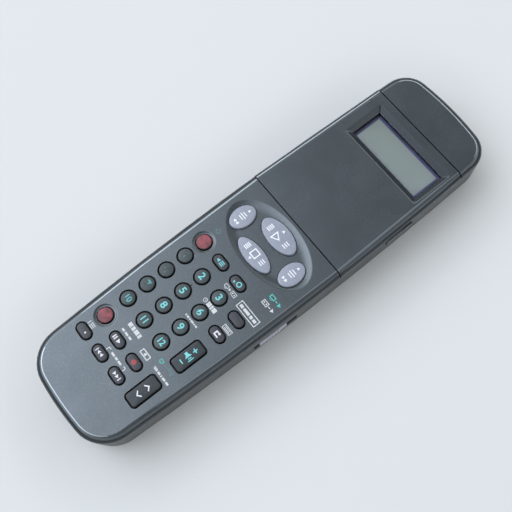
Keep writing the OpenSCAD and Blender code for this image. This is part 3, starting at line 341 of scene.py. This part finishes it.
SLIGHT, SHARP = math.radians(12), math.radians(40)      # turns between two faces
MELT = math.radians(0.5)    # faces that turn less than this are one flat
FLANGE = 1.0                # width of the flange that keeps a key in its hole
PRINT_ROOM = 0.06           # a key's top stays this far under its box, for the print on it
CROWN_RINGS = (1.0, 0.8, 0.55, 0.28)    # shares of the top's size
PILL = 3.4                  # diameter of a contact pill
PILL_REACH = 4.6            # from the middle of a rocker to each of its two pills
HALF_TIP_BAR = 0.6          # half the width of the cross bar that a rocker tips on
TIP_BAR_LOW, TIP_BAR_HIGH = 0.05, 0.36      # over the flange's underside, and over its top
NEARLY_HALF = 0.485         # of a side, so that the cuts at two corners don't meet

KEY_FORMS = {
    # form, corner, rim radius, crown, flange low, flange high
    "round": ("ellipse", None, 0.5, 0.22, 19.9, 20.5),
    "stadium": ("rounded", 9.0, 0.45, 0.16, 19.9, 20.5),
    "rocker": ("rounded", 1.3, 0.45, 0.16, 19.6399, 20.1399),
    "oval": ("ellipse", None, 0.5, 0.2, 19.9, 20.5),
    "program": ("rounded", 9.0, 0.45, 0.16, 17.3, 17.9),
}


def box_mm(node):
    low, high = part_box(node)
    return low / MM, high / MM


def finished(bm, name, finish, body, stands_for=None, sharp=32.0, outward=True):
    """Turns a bmesh in millimetres into a piece that rides on a body."""
    if outward:
        bmesh.ops.recalc_face_normals(bm, faces=bm.faces)
    bmesh.ops.scale(bm, vec=Vector((MM, MM, MM)), verts=bm.verts)
    mesh = bpy.data.meshes.new(name)
    bm.to_mesh(mesh)
    bm.free()
    mesh.polygons.foreach_set("use_smooth", [True] * len(mesh.polygons))
    mesh.set_sharp_from_angle(angle=math.radians(sharp))
    mesh.materials.append(FINISH[finish])
    made = bpy.data.objects.new(name, mesh)
    scene.collection.objects.link(made)
    even = made.modifiers.new("even_shading", "WEIGHTED_NORMAL")
    even.keep_sharp = True
    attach(made, body)
    if stands_for:
        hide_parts(stands_for)
    return made


def shell(node, finish, body, width, crease=None, shortest=0.05):
    """A moulded shell: the node's own form with its flats joined and its sharp edges broken.

    width breaks the sharp edges longer than shortest, and crease softens the rim of the face.
    """
    bm = bmesh.new()
    bm.from_mesh(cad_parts[node].data)
    bmesh.ops.scale(bm, vec=Vector((1 / MM,) * 3), verts=bm.verts)
    bmesh.ops.remove_doubles(bm, verts=bm.verts, dist=MERGE)
    bmesh.ops.dissolve_degenerate(bm, edges=bm.edges, dist=MERGE)
    bmesh.ops.dissolve_limit(bm, angle_limit=MELT, verts=bm.verts, edges=bm.edges)
    if crease:
        rim = [e for e in bm.edges if e.is_manifold and e.is_convex
               and SLIGHT < e.calc_face_angle() < SHARP
               and all(abs(v.co.z - FACE) < 0.01 for v in e.verts)]
        bmesh.ops.bevel(bm, geom=rim, offset=crease, segments=3, profile=0.5, affect="EDGES",
                        clamp_overlap=False, material=-1)
    sharp = [e for e in bm.edges if e.is_manifold and e.is_convex and e.calc_length() > shortest
             and e.calc_face_angle() > SHARP]
    bmesh.ops.bevel(bm, geom=sharp, offset=width, segments=2, profile=0.5, affect="EDGES",
                    clamp_overlap=False, material=-1)
    return finished(bm, node + "_form", finish, body, node, outward=False)


def flat_face(bm, form, w, h, corner, z):
    """One flat face: an ellipse, or a rectangle with round corners."""
    if form == "ellipse":
        bmesh.ops.create_circle(bm, cap_ends=True, segments=72, radius=1.0)
        bmesh.ops.scale(bm, vec=Vector((w / 2, h / 2, 1)), verts=bm.verts)
    else:
        bmesh.ops.create_grid(bm, x_segments=1, y_segments=1, size=0.5)
        bmesh.ops.scale(bm, vec=Vector((w, h, 1)), verts=bm.verts)
        bmesh.ops.bevel(bm, geom=list(bm.verts), offset=min(corner, min(w, h) * NEARLY_HALF),
                        segments=12, profile=0.5, affect="VERTICES", clamp_overlap=False, material=-1)
    bmesh.ops.translate(bm, vec=Vector((0, 0, z)), verts=bm.verts)
    bm.faces.ensure_lookup_table()
    return bm.faces[0]


def raised(bm, face, height):
    """Lifts a face on walls of its own; only a lone face leaves a bottom behind."""
    lone = all(e.is_boundary for e in face.edges)
    grown = bmesh.ops.extrude_face_region(bm, geom=[face])["geom"]
    if not lone:
        bmesh.ops.delete(bm, geom=[face], context="FACES_ONLY")
    top = next(g for g in grown if isinstance(g, bmesh.types.BMFace))
    bmesh.ops.translate(bm, vec=Vector((0, 0, height)), verts=top.verts)
    return top


def narrowed(bm, face, width):
    """Draws the face's outline in, and leaves a rim of that width round it."""
    bmesh.ops.inset_region(bm, faces=[face], thickness=width, use_even_offset=True)
    return face


def shrunk(bm, face, share, lift):
    """A smaller copy of the face inside it, so that the top can be crowned ring by ring."""
    face = raised(bm, face, lift)
    bmesh.ops.scale(bm, vec=Vector((share, share, 1)), verts=face.verts)
    return face


def highest(bm):
    """The face that lies highest."""
    return max(bm.faces, key=lambda f: f.calc_center_median().z)


def post(bm, y, z0, z1):
    """A contact pill, as a round post."""
    bmesh.ops.create_cone(bm, cap_ends=True, segments=32, radius1=PILL / 2, radius2=PILL / 2, depth=z1 - z0,
                          matrix=Matrix.Translation((0, y, (z0 + z1) / 2)))


def bar(bm, low, high):
    """A straight bar from its lowest corner to its highest."""
    made = bmesh.ops.create_cube(bm, size=1.0)["verts"]
    low, high = Vector(low), Vector(high)
    bmesh.ops.scale(bm, vec=high - low, verts=made)
    bmesh.ops.translate(bm, vec=(low + high) / 2, verts=made)
    return made


def key(node, kind, finish, slot):
    """A key: contact pill, flange, straight sides, rounded rim and a crowned top.

    A rocker also has the cross bar that it tips on, and two pills.
    """
    form, corner, rim, crown, flange_low, flange_high = KEY_FORMS[kind]
    low, high = box_mm(node)
    middle = (low + high) / 2
    size = high - low
    top_z = high.z - PRINT_ROOM
    bm = bmesh.new()
    face = flat_face(bm, form, size.x, size.y, corner and corner + FLANGE, flange_low)
    face = raised(bm, face, flange_high - flange_low)
    face = narrowed(bm, face, FLANGE)
    face = raised(bm, face, top_z - crown - flange_high)
    bmesh.ops.bevel(bm, geom=list(face.edges), offset=rim, segments=4, profile=0.5, affect="EDGES",
                    clamp_overlap=False, material=-1)
    face = highest(bm)
    for outer, inner in zip(CROWN_RINGS, CROWN_RINGS[1:]):
        face = shrunk(bm, face, inner / outer, crown * (outer ** 2 - inner ** 2))
    centre = bmesh.ops.poke(bm, faces=[face])["verts"]
    bmesh.ops.translate(bm, vec=Vector((0, 0, crown * CROWN_RINGS[-1] ** 2)), verts=centre)
    if kind == "rocker":
        half = size.x / 2
        bar(bm, (-half, -HALF_TIP_BAR, flange_low + TIP_BAR_LOW),
            (half, HALF_TIP_BAR, flange_high + TIP_BAR_HIGH))
    for y in (-PILL_REACH, PILL_REACH) if kind == "rocker" else (0,):
        post(bm, y, low.z, flange_low + 0.2)
    bmesh.ops.translate(bm, vec=Vector((middle.x, middle.y, 0)), verts=bm.verts)
    return finished(bm, node + "_form", finish, node + "_body", node, sharp=40.0)


# ---------------------------------------------------------------- printed marks

INK = 0.03              # how far a print stands out of its surface
SUNK = 0.08             # how far its underside lies under it
THIN = 0.24             # line width of the small icons
MARK_MERGE = 0.004      # corners of a mark that lie closer than this are one
MARK_STEPS = (1.6, 0.9, 0.55)   # longest edges, so that a mark follows a crowned key
OVERHEAD = 0.05         # metres, above every surface that carries a print


def circle_loop(x, y, r, steps=28):
    return [(x + r * math.cos(math.tau * i / steps), y + r * math.sin(math.tau * i / steps))
            for i in range(steps)]


def rect_loop(x, y, w, h):
    return [(x - w / 2, y - h / 2), (x + w / 2, y - h / 2), (x + w / 2, y + h / 2), (x - w / 2, y + h / 2)]


def ring(x, y, r, t):
    return [circle_loop(x, y, r), circle_loop(x, y, r - t)]


def outlined(x, y, w, h, t):
    return [rect_loop(x, y, w, h), rect_loop(x, y, w - 2 * t, h - 2 * t)]


def triangle(x, y, size, way):
    """A triangle whose point looks right (0), up (90), left (180) or down (270)."""
    return [turned([(-0.43 * size, -0.5 * size), (0.43 * size, 0), (-0.43 * size, 0.5 * size)], x, y, way)]


def turned(points, x, y, way):
    c, s = math.cos(math.radians(way)), math.sin(math.radians(way))
    return [(x + c * px - s * py, y + s * px + c * py) for px, py in points]


def chevron(x, y, w, h, t, way):
    return [turned([(-w / 2, -h / 2), (-w / 2 + t, -h / 2), (0, h / 2 - t), (w / 2 - t, -h / 2),
                    (w / 2, -h / 2), (0, h / 2)], x, y, way)]


def plus(x, y, size, t):
    a, b = size / 2, t / 2
    return [[(x + px, y + py) for px, py in (
        (-b, -a), (b, -a), (b, -b), (a, -b), (a, b), (b, b), (b, a), (-b, a), (-b, b), (-a, b), (-a, -b),
        (-b, -b))]]


def bars(x, y, widths, h, gap):
    """A plain mark: a row of short bars, one after another."""
    total = sum(widths) + gap * (len(widths) - 1)
    loops, left = [], x - total / 2
    for w in widths:
        loops.append(rect_loop(left + w / 2, y, w, h))
        left += w + gap
    return loops


def lines(x, y, w, count, t, gap):
    """A plain mark: a stack of thin lines, one over another."""
    return [rect_loop(x, y + (i - (count - 1) / 2) * gap, w, t) for i in range(count)]


def screen(x, y, w, h, t=0.26):
    """A small television: an outlined screen on a foot."""
    return outlined(x, y + 0.15, w, h - 0.3, t) + [rect_loop(x, y - h / 2 - 0.1, w * 0.5, 0.22)]


def clock(x, y, r):
    return ring(x, y, r, THIN) + [[(x - 0.1, y - 0.1), (x + r * 0.5, y - 0.1), (x + r * 0.5, y + 0.12),
                                  (x + 0.12, y + 0.12), (x + 0.12, y + r * 0.6), (x - 0.1, y + r * 0.6)]]


def tape(x, y, w, h, t=THIN):
    """A cassette: an outlined box with two reels."""
    return outlined(x, y, w, h, t) + [circle_loop(x - w * 0.2, y, h * 0.17, 14),
                                         circle_loop(x + w * 0.2, y, h * 0.17, 14)]


def speaker(x, y, s):
    return [[(x - s * 0.5, y - s * 0.2), (x - s * 0.15, y - s * 0.2), (x + s * 0.2, y - s * 0.5),
             (x + s * 0.2, y + s * 0.5), (x - s * 0.15, y + s * 0.2), (x - s * 0.5, y + s * 0.2)],
            rect_loop(x + s * 0.42, y, s * 0.12, s * 0.5), rect_loop(x + s * 0.66, y, s * 0.12, s * 0.9)]


def power_mark(x, y, r, t):
    """A ring that is open at the top, with a bar in its gap."""
    angles = [math.radians(130 + 14 * i) for i in range(21)]
    arc = [(x + radius * math.cos(a), y + radius * math.sin(a))
           for radius, way in ((r, angles), (r - t, angles[::-1])) for a in way]
    return [arc, rect_loop(x, y + r * 0.55, t, r * 1.1)]


def filled(loops):
    """A flat curve of closed loops, made a thin solid mesh."""
    curve = bpy.data.curves.new("loops", "CURVE")
    curve.dimensions = "2D"
    curve.fill_mode = "BOTH"
    curve.extrude = 0.5
    for loop in loops:
        spline = curve.splines.new("POLY")
        spline.points.add(len(loop) - 1)
        for point, (x, y) in zip(spline.points, loop):
            point.co = (x, y, 0, 1)
        spline.use_cyclic_u = True
    return to_mesh(curve)


def lettered(body, size, offset, width):
    """Digits as a thin solid mesh about the origin."""
    curve = bpy.data.curves.new("digits", "FONT")
    curve.body = body
    curve.size = size
    curve.offset = offset
    curve.align_x = "CENTER"
    curve.align_y = "CENTER"
    curve.extrude = 0.5
    mesh = to_mesh(curve)
    mesh.transform(Matrix.Diagonal((width, 1, 1, 1)))
    return mesh


def to_mesh(curve):
    """A curve or text made a mesh; the curve itself goes."""
    holder = bpy.data.objects.new("holder", curve)
    scene.collection.objects.link(holder)
    bpy.context.view_layer.update()
    mesh = bpy.data.meshes.new_from_object(holder.evaluated_get(bpy.context.evaluated_depsgraph_get()))
    bpy.data.objects.remove(holder)
    bpy.data.curves.remove(curve)
    return mesh


def marks(name, carrier, meshes, finish, body):
    """Prints lie on the surface of the piece that carries them."""
    under = bmesh.new()
    under.from_mesh(carrier.data)
    tree = BVHTree.FromBMesh(under)
    bm = bmesh.new()
    for mesh in meshes:
        bm.from_mesh(mesh)
        bpy.data.meshes.remove(mesh)
    bmesh.ops.remove_doubles(bm, verts=bm.verts, dist=MARK_MERGE)
    bmesh.ops.triangulate(bm, faces=bm.faces)
    for longest in MARK_STEPS:
        cut = [e for e in bm.edges if e.calc_length() > longest and len({v.co.z > 0 for v in e.verts}) == 1]
        bmesh.ops.subdivide_edges(bm, edges=cut, cuts=1)
        bmesh.ops.triangulate(bm, faces=bm.faces)
    for v in bm.verts:
        hit = tree.ray_cast(Vector((v.co.x * MM, v.co.y * MM, OVERHEAD)), Vector((0, 0, -1)))[0]
        v.co.z = hit.z / MM + (INK if v.co.z > 0 else -SUNK)
    under.free()
    return finished(bm, name, finish, body, sharp=40.0)


# ---------------------------------------------------------------- the cases and the lid

upper = shell("upper_case", "face", "case", 0.05, crease=0.3, shortest=3.0)
shell("lower_case", "back", "case", 0.14)
shell("lid", "face", "lid_body", 0.05, crease=0.3)
shell("battery_cover", "back", "cover_body", 0.12)
shell("infrared_window", "infrared", "case", 0.15)
shell("display_lens", "lens", "case", 0.12)
shell("case_screws", "steel", "case", 0.08)
shell("battery_left", "cell", "case", 0.2)
shell("battery_right", "cell", "case", 0.2)


# ---------------------------------------------------------------- the keys

made_keys = {}
for number in range(1, 13):
    made_keys[f"number_key_{number}"] = key(f"number_key_{number}", "round", "number", "number_rubber")
for name in ("upper_power_key", "lower_power_key"):
    made_keys[name] = key(name, "round", "power", "power_rubber")
for name in ("tuner_key", "satellite_key", "display_key", "page_key", "pause_key", "record_key",
             "memory_key", "skip_back_key", "skip_on_key"):
    made_keys[name] = key(name, "stadium", "key", "key_rubber")
for name in ("volume_rocker", "channel_rocker"):
    made_keys[name] = key(name, "rocker", "rocker", "key_rubber")
for name in ("rewind_key", "play_key", "stop_key", "forward_key"):
    made_keys[name] = key(name, "oval", "transport", "transport_plastic")
for number in range(1, 5):
    made_keys[f"program_key_{number}"] = key(f"program_key_{number}", "program", "key", "key_rubber")


def key_marks(node, mesh, finish):
    """A print about the middle of a key."""
    middle = sum(box_mm(node), Vector()) / 2
    mesh.transform(Matrix.Translation((middle.x, middle.y, 0)))
    marks(f"{node}_{finish}", made_keys[node], [mesh], finish, node + "_body")


DIGIT_INK = {1: "key_faint", 4: "key_faint", 7: "key_half", 10: "key_half"}
DIGIT_SWELL = 0.085     # how far the digits' outlines are swollen
for number in range(1, 13):
    size, width = (3.9, 0.92) if number > 9 else (4.4, 1.1)
    key_marks(f"number_key_{number}", lettered(str(number), size, DIGIT_SWELL, width),
              DIGIT_INK.get(number, "key_teal"))

for name, finish, loops in (
    ("tuner_key", "key_teal", triangle(-1.5, 0, 1.7, 180) + lines(0.9, 0, 2.2, 3, 0.4, 0.8)),
    ("satellite_key", "key_teal", [circle_loop(-1.6, -0.7, 0.45, 16)] + ring(0.9, 0, 1.25, 0.45)),
    ("page_key", "key_white", [[
        (-1.3, -1.1), (1.3, -1.1), (1.3, -0.5), (-0.65, -0.5), (-0.65, 0.5), (0.5, 0.5), (0.5, 0.0),
        (1.3, 0.8), (0.5, 1.5), (0.5, 1.1), (-1.3, 1.1)]]),
    ("pause_key", "key_white", [rect_loop(-2.1, 0, 0.55, 2.0), rect_loop(-1.1, 0, 0.55, 2.0)]
     + triangle(1.1, 0, 2.0, 0)),
    ("record_key", "red_print", [circle_loop(0, 0, 1.15)]),
    ("memory_key", "key_white", [circle_loop(1.1, 0, 0.4, 16)]),
    ("skip_back_key", "key_white", [rect_loop(-2.0, 0, 0.4, 1.8)] + triangle(-0.7, 0, 1.7, 180)
     + triangle(1.0, 0, 1.7, 180)),
    ("skip_on_key", "key_white", [rect_loop(2.0, 0, 0.4, 1.8)] + triangle(0.7, 0, 1.7, 0)
     + triangle(-1.0, 0, 1.7, 0)),
    ("volume_rocker", "key_teal", plus(0, 3.6, 2.2, 0.5) + [rect_loop(0, -3.6, 2.2, 0.5)]
     + speaker(-0.3, 0, 3.3)),
    ("channel_rocker", "key_white", chevron(0, 2.5, 3.6, 1.7, 0.75, 0)
     + chevron(0, -2.5, 3.6, 1.7, 0.75, 180)),
):
    key_marks(name, filled(loops), finish)

STACK_LINE = 0.42       # line width of the stacks on the transport keys
for name, loops in (
    ("play_key", [turned([(-1.9, -2.25), (2.05, 0), (-1.9, 2.25)], 0, -1.2, 0),
                  turned([(-1.4, -1.45), (1.15, 0), (-1.4, 1.45)], 0, -1.2, 0)]
     + triangle(0, 2.9, 1.5, 90) + lines(-5.2, -0.4, 2.2, 4, STACK_LINE, 0.85)
     + lines(5.2, -0.4, 2.2, 3, STACK_LINE, 1.1)),
    ("stop_key", outlined(0, 0.6, 3.7, 3.7, 0.48) + triangle(0, -2.4, 1.4, 270)
     + lines(-4.9, 0.4, 2.2, 4, STACK_LINE, 0.8) + lines(4.9, 0.4, 2.2, 3, STACK_LINE, 1.0)),
    *((name, triangle(0.75, -3.6, 1.5, way) + triangle(-0.85, -3.6, 1.5, way) + triangle(0, 3.9, 1.4, 90)
       + [rect_loop(0, y, w, 0.4) for y, w in ((0.3, 3.6), (-0.9, 2.6), (1.5, 2.6))])
      for name, way in (("rewind_key", 180), ("forward_key", 0))),
):
    key_marks(name, filled(loops), "pale_print")

for number, loops in enumerate((
    clock(0, 0, 1.3), screen(0, 0, 2.6, 2.0), plus(0, 0, 2.2, 0.5), [rect_loop(0, 0, 2.2, 0.5)],
), 1):
    key_marks(f"program_key_{number}", filled(loops), "key_white")


# ---------------------------------------------------------------- marks on the face

white_marks = [
    screen(3.4, -22.6, 2.3, 1.8), triangle(5.6, -22.6, 1.3, 0), tape(8.1, -22.6, 2.9, 1.9),
    clock(2.6, -33.2, 1.0), bars(6.9, -33.2, (1.9, 0.9, 1.9), 2.0, 0.35),
    bars(6.1, -43.2, (0.5, 1.3, 0.6, 1.6, 0.5, 1.1), 0.75, 0.4),
    outlined(18.5, -33.8, 4.9, 2.2, 0.3), lines(18.5, -33.8, 3.4, 2, 0.34, 0.75),
    outlined(18.5, -22.95, 12.2, 3.7, 0.38), bars(18.5, -22.95, (1.8, 3.6, 1.5, 1.8), 1.3, 0.5),
    tape(19.4, -14.5, 3.2, 2.1, 0.36), triangle(24.0, -14.5, 1.8, 0), lines(22.0, -14.5, 1.2, 1, 0.45, 1),
    [rect_loop(-20.3, -76.9, 0.32, 1.9), rect_loop(-18.2, -76.9, 2.4, 0.34),
     rect_loop(-18.2, -76.1, 2.4, 0.34)],
    lines(-18.2, -77.7, 2.4, 1, 0.34, 1),
    bars(-5.4, -64.0, (2.0, 1.4, 2.2, 1.2), 1.9, 0.4),
    bars(-6.2, -67.6, (1.6, 2.0, 1.7), 0.9, 0.5),
    outlined(5.7, -66.5, 5.2, 2.4, 0.45), [circle_loop(5.7, -66.5, 0.62)],
    bars(-0.4, -76.9, (2.1, 1.5, 2.1), 0.9, 0.5),
    [[(-6.4, -78.0), (-6.4, -76.2), (-5.0, -76.2), (-5.0, -76.55), (-6.05, -76.55), (-6.05, -78.0)],
     [(5.6, -78.0), (5.6, -76.2), (4.2, -76.2), (4.2, -76.55), (5.25, -76.55), (5.25, -78.0)]],
    bars(17.1, -66.6, (1.9, 1.5, 0.6, 1.8, 1.6), 0.9, 0.5), lines(13.0, -66.2, 1.8, 1, 0.45, 1),
]
teal_marks = [
    screen(19.5, -10.7, 2.8, 2.1, 0.40), lines(22.0, -10.7, 1.2, 1, 0.45, 1), triangle(24.1, -10.8, 1.9, 0),
    screen(12.2, -62.9, 2.1, 1.6),
]
faint_marks = [power_mark(-18.5, -10.4, 1.2, 0.28), tape(18.0, -62.9, 2.8, 1.7),
               lines(15.1, -62.9, 1.6, 1, 0.3, 1)]
for tint, groups in (("white", white_marks), ("teal", teal_marks), ("faint", faint_marks)):
    marks(f"face_{tint}_marks", upper, [filled(loops) for loops in groups], tint + "_print", "case")


def pip():
    """The raised dot over the 5 key that a finger finds."""
    radius, flatness, place = 0.45, 0.7, (-6.5, -33.9, FACE)
    bm = bmesh.new()
    bmesh.ops.create_uvsphere(bm, u_segments=20, v_segments=10, radius=radius)
    bmesh.ops.scale(bm, vec=Vector((1, 1, flatness)), verts=bm.verts)
    bmesh.ops.translate(bm, vec=Vector(place), verts=bm.verts)
    finished(bm, "finger_pip", "face", "case")


pip()


# ---------------------------------------------------------------- display frame, knob

def frame_plate(name, finish, outer, hole, z0, z1):
    """A thin plate round a rectangular opening; each is left, right, tail, head."""
    left, right, tail, head = outer
    hole_left, hole_right, hole_tail, hole_head = hole
    bm = bmesh.new()
    bar(bm, (left, tail, z0), (right, hole_tail, z1))
    bar(bm, (left, hole_head, z0), (right, head, z1))
    bar(bm, (left, hole_tail, z0), (hole_left, hole_head, z1))
    bar(bm, (hole_right, hole_tail, z0), (right, hole_head, z1))
    finished(bm, name, finish, "case")


# The dark mask under the lens lies just over the display's holder, and the violet line just over it.
MASK_Z, LINE_Z = (19.02, 19.05), (19.055, 19.075)
frame_plate("display_mask", "holder", (-21.0, 24.8, 64.1, 83.9), (-17.0, 21.3, 65.9, 79.5), *MASK_Z)
frame_plate("display_line", "violet", (-17.8, 21.9, 65.3, 80.5), (-16.9, 21.1, 66.1, 79.4), *LINE_Z)


def rounded_bar(bm, low, high, radius, steps):
    """A bar with all its edges rounded."""
    made = bar(bm, low, high)
    bmesh.ops.bevel(bm, geom=list({e for v in made for e in v.link_edges}), offset=radius, segments=steps,
                    profile=0.5, affect="EDGES", material=-1)


def switch_knob():
    """A plate with five ribs for the finger, on a stem that reaches into the switch."""
    low, high = box_mm("switch_knob")
    middle = (low.y + high.y) / 2
    plate_back, plate_front = high.x - 2.05, high.x - 0.35
    rib_back, rib_front = high.x - 0.6, high.x - 0.01
    rib_pitch, half_rib, rib_margin = 1.5, 0.35, 0.5
    half_stem, stem_front, stem_low, stem_high = 1.5, high.x - 2.0, 8.8, 11.2
    bm = bmesh.new()
    rounded_bar(bm, (plate_back, low.y, low.z), (plate_front, high.y, high.z), 0.35, 3)
    for y in (middle + i * rib_pitch for i in range(-2, 3)):
        rounded_bar(bm, (rib_back, y - half_rib, low.z + rib_margin),
                    (rib_front, y + half_rib, high.z - rib_margin), 0.2, 2)
    bar(bm, (low.x, middle - half_stem, stem_low), (stem_front, middle + half_stem, stem_high))
    finished(bm, "switch_knob_form", "knob", "knob_body", "switch_knob")


switch_knob()

# Pieces whose own form is right take a finish.
for finish, nodes in (
    ("display", ("display_glass",)),
    ("holder", ("display_holder",)),
    ("sheet", ("contact_strips", "keypad_sheet", "program_sheet")),
    ("green_board", ("display_board",)),
    ("brown_board", ("keypad_board",)),
    ("chip", ("controller_chip", "contact_pads")),
    ("ribbon", ("board_ribbon",)),
    ("diode", ("infrared_diodes",)),
    ("steel", ("switch_body", "battery_springs", "battery_plates", "hinge_pins")),
):
    for node in nodes:
        for material_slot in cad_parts[node].material_slots:
            material_slot.material = FINISH[finish]


# ---------------------------------------------------------------- table, light and camera

HALF_TABLE = 3.0        # metres
DAYLIGHT = (0.97, 0.99, 1.0)


def table_top():
    bm = bmesh.new()
    bmesh.ops.create_grid(bm, x_segments=1, y_segments=1, size=HALF_TABLE)
    mesh = bpy.data.meshes.new("table_top")
    bm.to_mesh(mesh)
    bm.free()
    top = bpy.data.objects.new("table_top", mesh)
    scene.collection.objects.link(top)
    made, _, shader = new_material("table_white")
    shader.inputs["Base Color"].default_value = (0.660, 0.672, 0.674, 1)
    shader.inputs["Roughness"].default_value = 0.6
    mesh.materials.append(made)


def lamp(name, place, size, power):
    """A strip of daylight that looks at the middle of the handset."""
    data = bpy.data.lights.new(name, "AREA")
    data.shape = "RECTANGLE"
    data.size, data.size_y = size
    data.energy = power
    data.color = DAYLIGHT
    made = bpy.data.objects.new(name, data)
    made.location = place
    made.rotation_euler = (-Vector(place)).to_track_quat("-Z", "Y").to_euler()
    scene.collection.objects.link(made)


# Heights at which the sky changes, as the upward part of a direction.
CEILING, WALL_TOP, WALL_FOOT, DARK = 0.72, 0.60, 0.45, 0.30
TOWARDS_WINDOW = (-0.50, -0.35, 0.79)
WINDOW_EDGE, WINDOW_HEART = 0.729, 0.96     # how nearly a direction points at the window


def sky():
    """Dark low down, pale walls half way up, a dim ceiling and one broad bright window in it."""
    world = bpy.data.worlds.new("studio")
    world.use_nodes = True
    tree = world.node_tree
    way = put(tree, "ShaderNodeTexCoord").outputs["Generated"]
    height = put(tree, "ShaderNodeSeparateXYZ", {"Vector": way}).outputs["Z"]
    near = put(tree, "ShaderNodeVectorMath", {0: way, 1: TOWARDS_WINDOW}, operation="DOT_PRODUCT")
    walls = blend_colour(tree, spread(tree, height, CEILING, WALL_TOP),
                         (0.42, 0.46, 0.48), (2.95, 3.00, 3.03))
    room = blend_colour(tree, spread(tree, height, WALL_FOOT, DARK), walls, (0.20, 0.21, 0.22))
    nearness = spread(tree, near.outputs["Value"], WINDOW_EDGE, WINDOW_HEART)
    colour = blend_colour(tree, maths(tree, "MULTIPLY", nearness, nearness), room, (4.35, 4.6, 5.05))
    tree.links.new(colour, tree.nodes["Background"].inputs["Color"])
    tree.nodes["Background"].inputs["Strength"].default_value = 0.62
    scene.world = world


table_top()
sky()
lamp("window", (-0.78, -0.10, 0.72), (1.3, 0.10), 0.9)
lamp("far_window", (-0.25, 0.85, 0.72), (0.9, 0.08), 0.4)

# The view was fitted to the photograph's.
camera = bpy.data.objects.new("camera", bpy.data.cameras.new("camera"))
camera.location = (0.09803, -0.05936, 0.34372)
camera.rotation_euler = [math.radians(a) for a in (18.947, 3.004, 52.059)]
camera.data.lens = 56.25
camera.data.sensor_width = 36
camera.data.clip_start = 0.01
scene.collection.objects.link(camera)
scene.camera = camera
scene.view_settings.view_transform = "Standard"
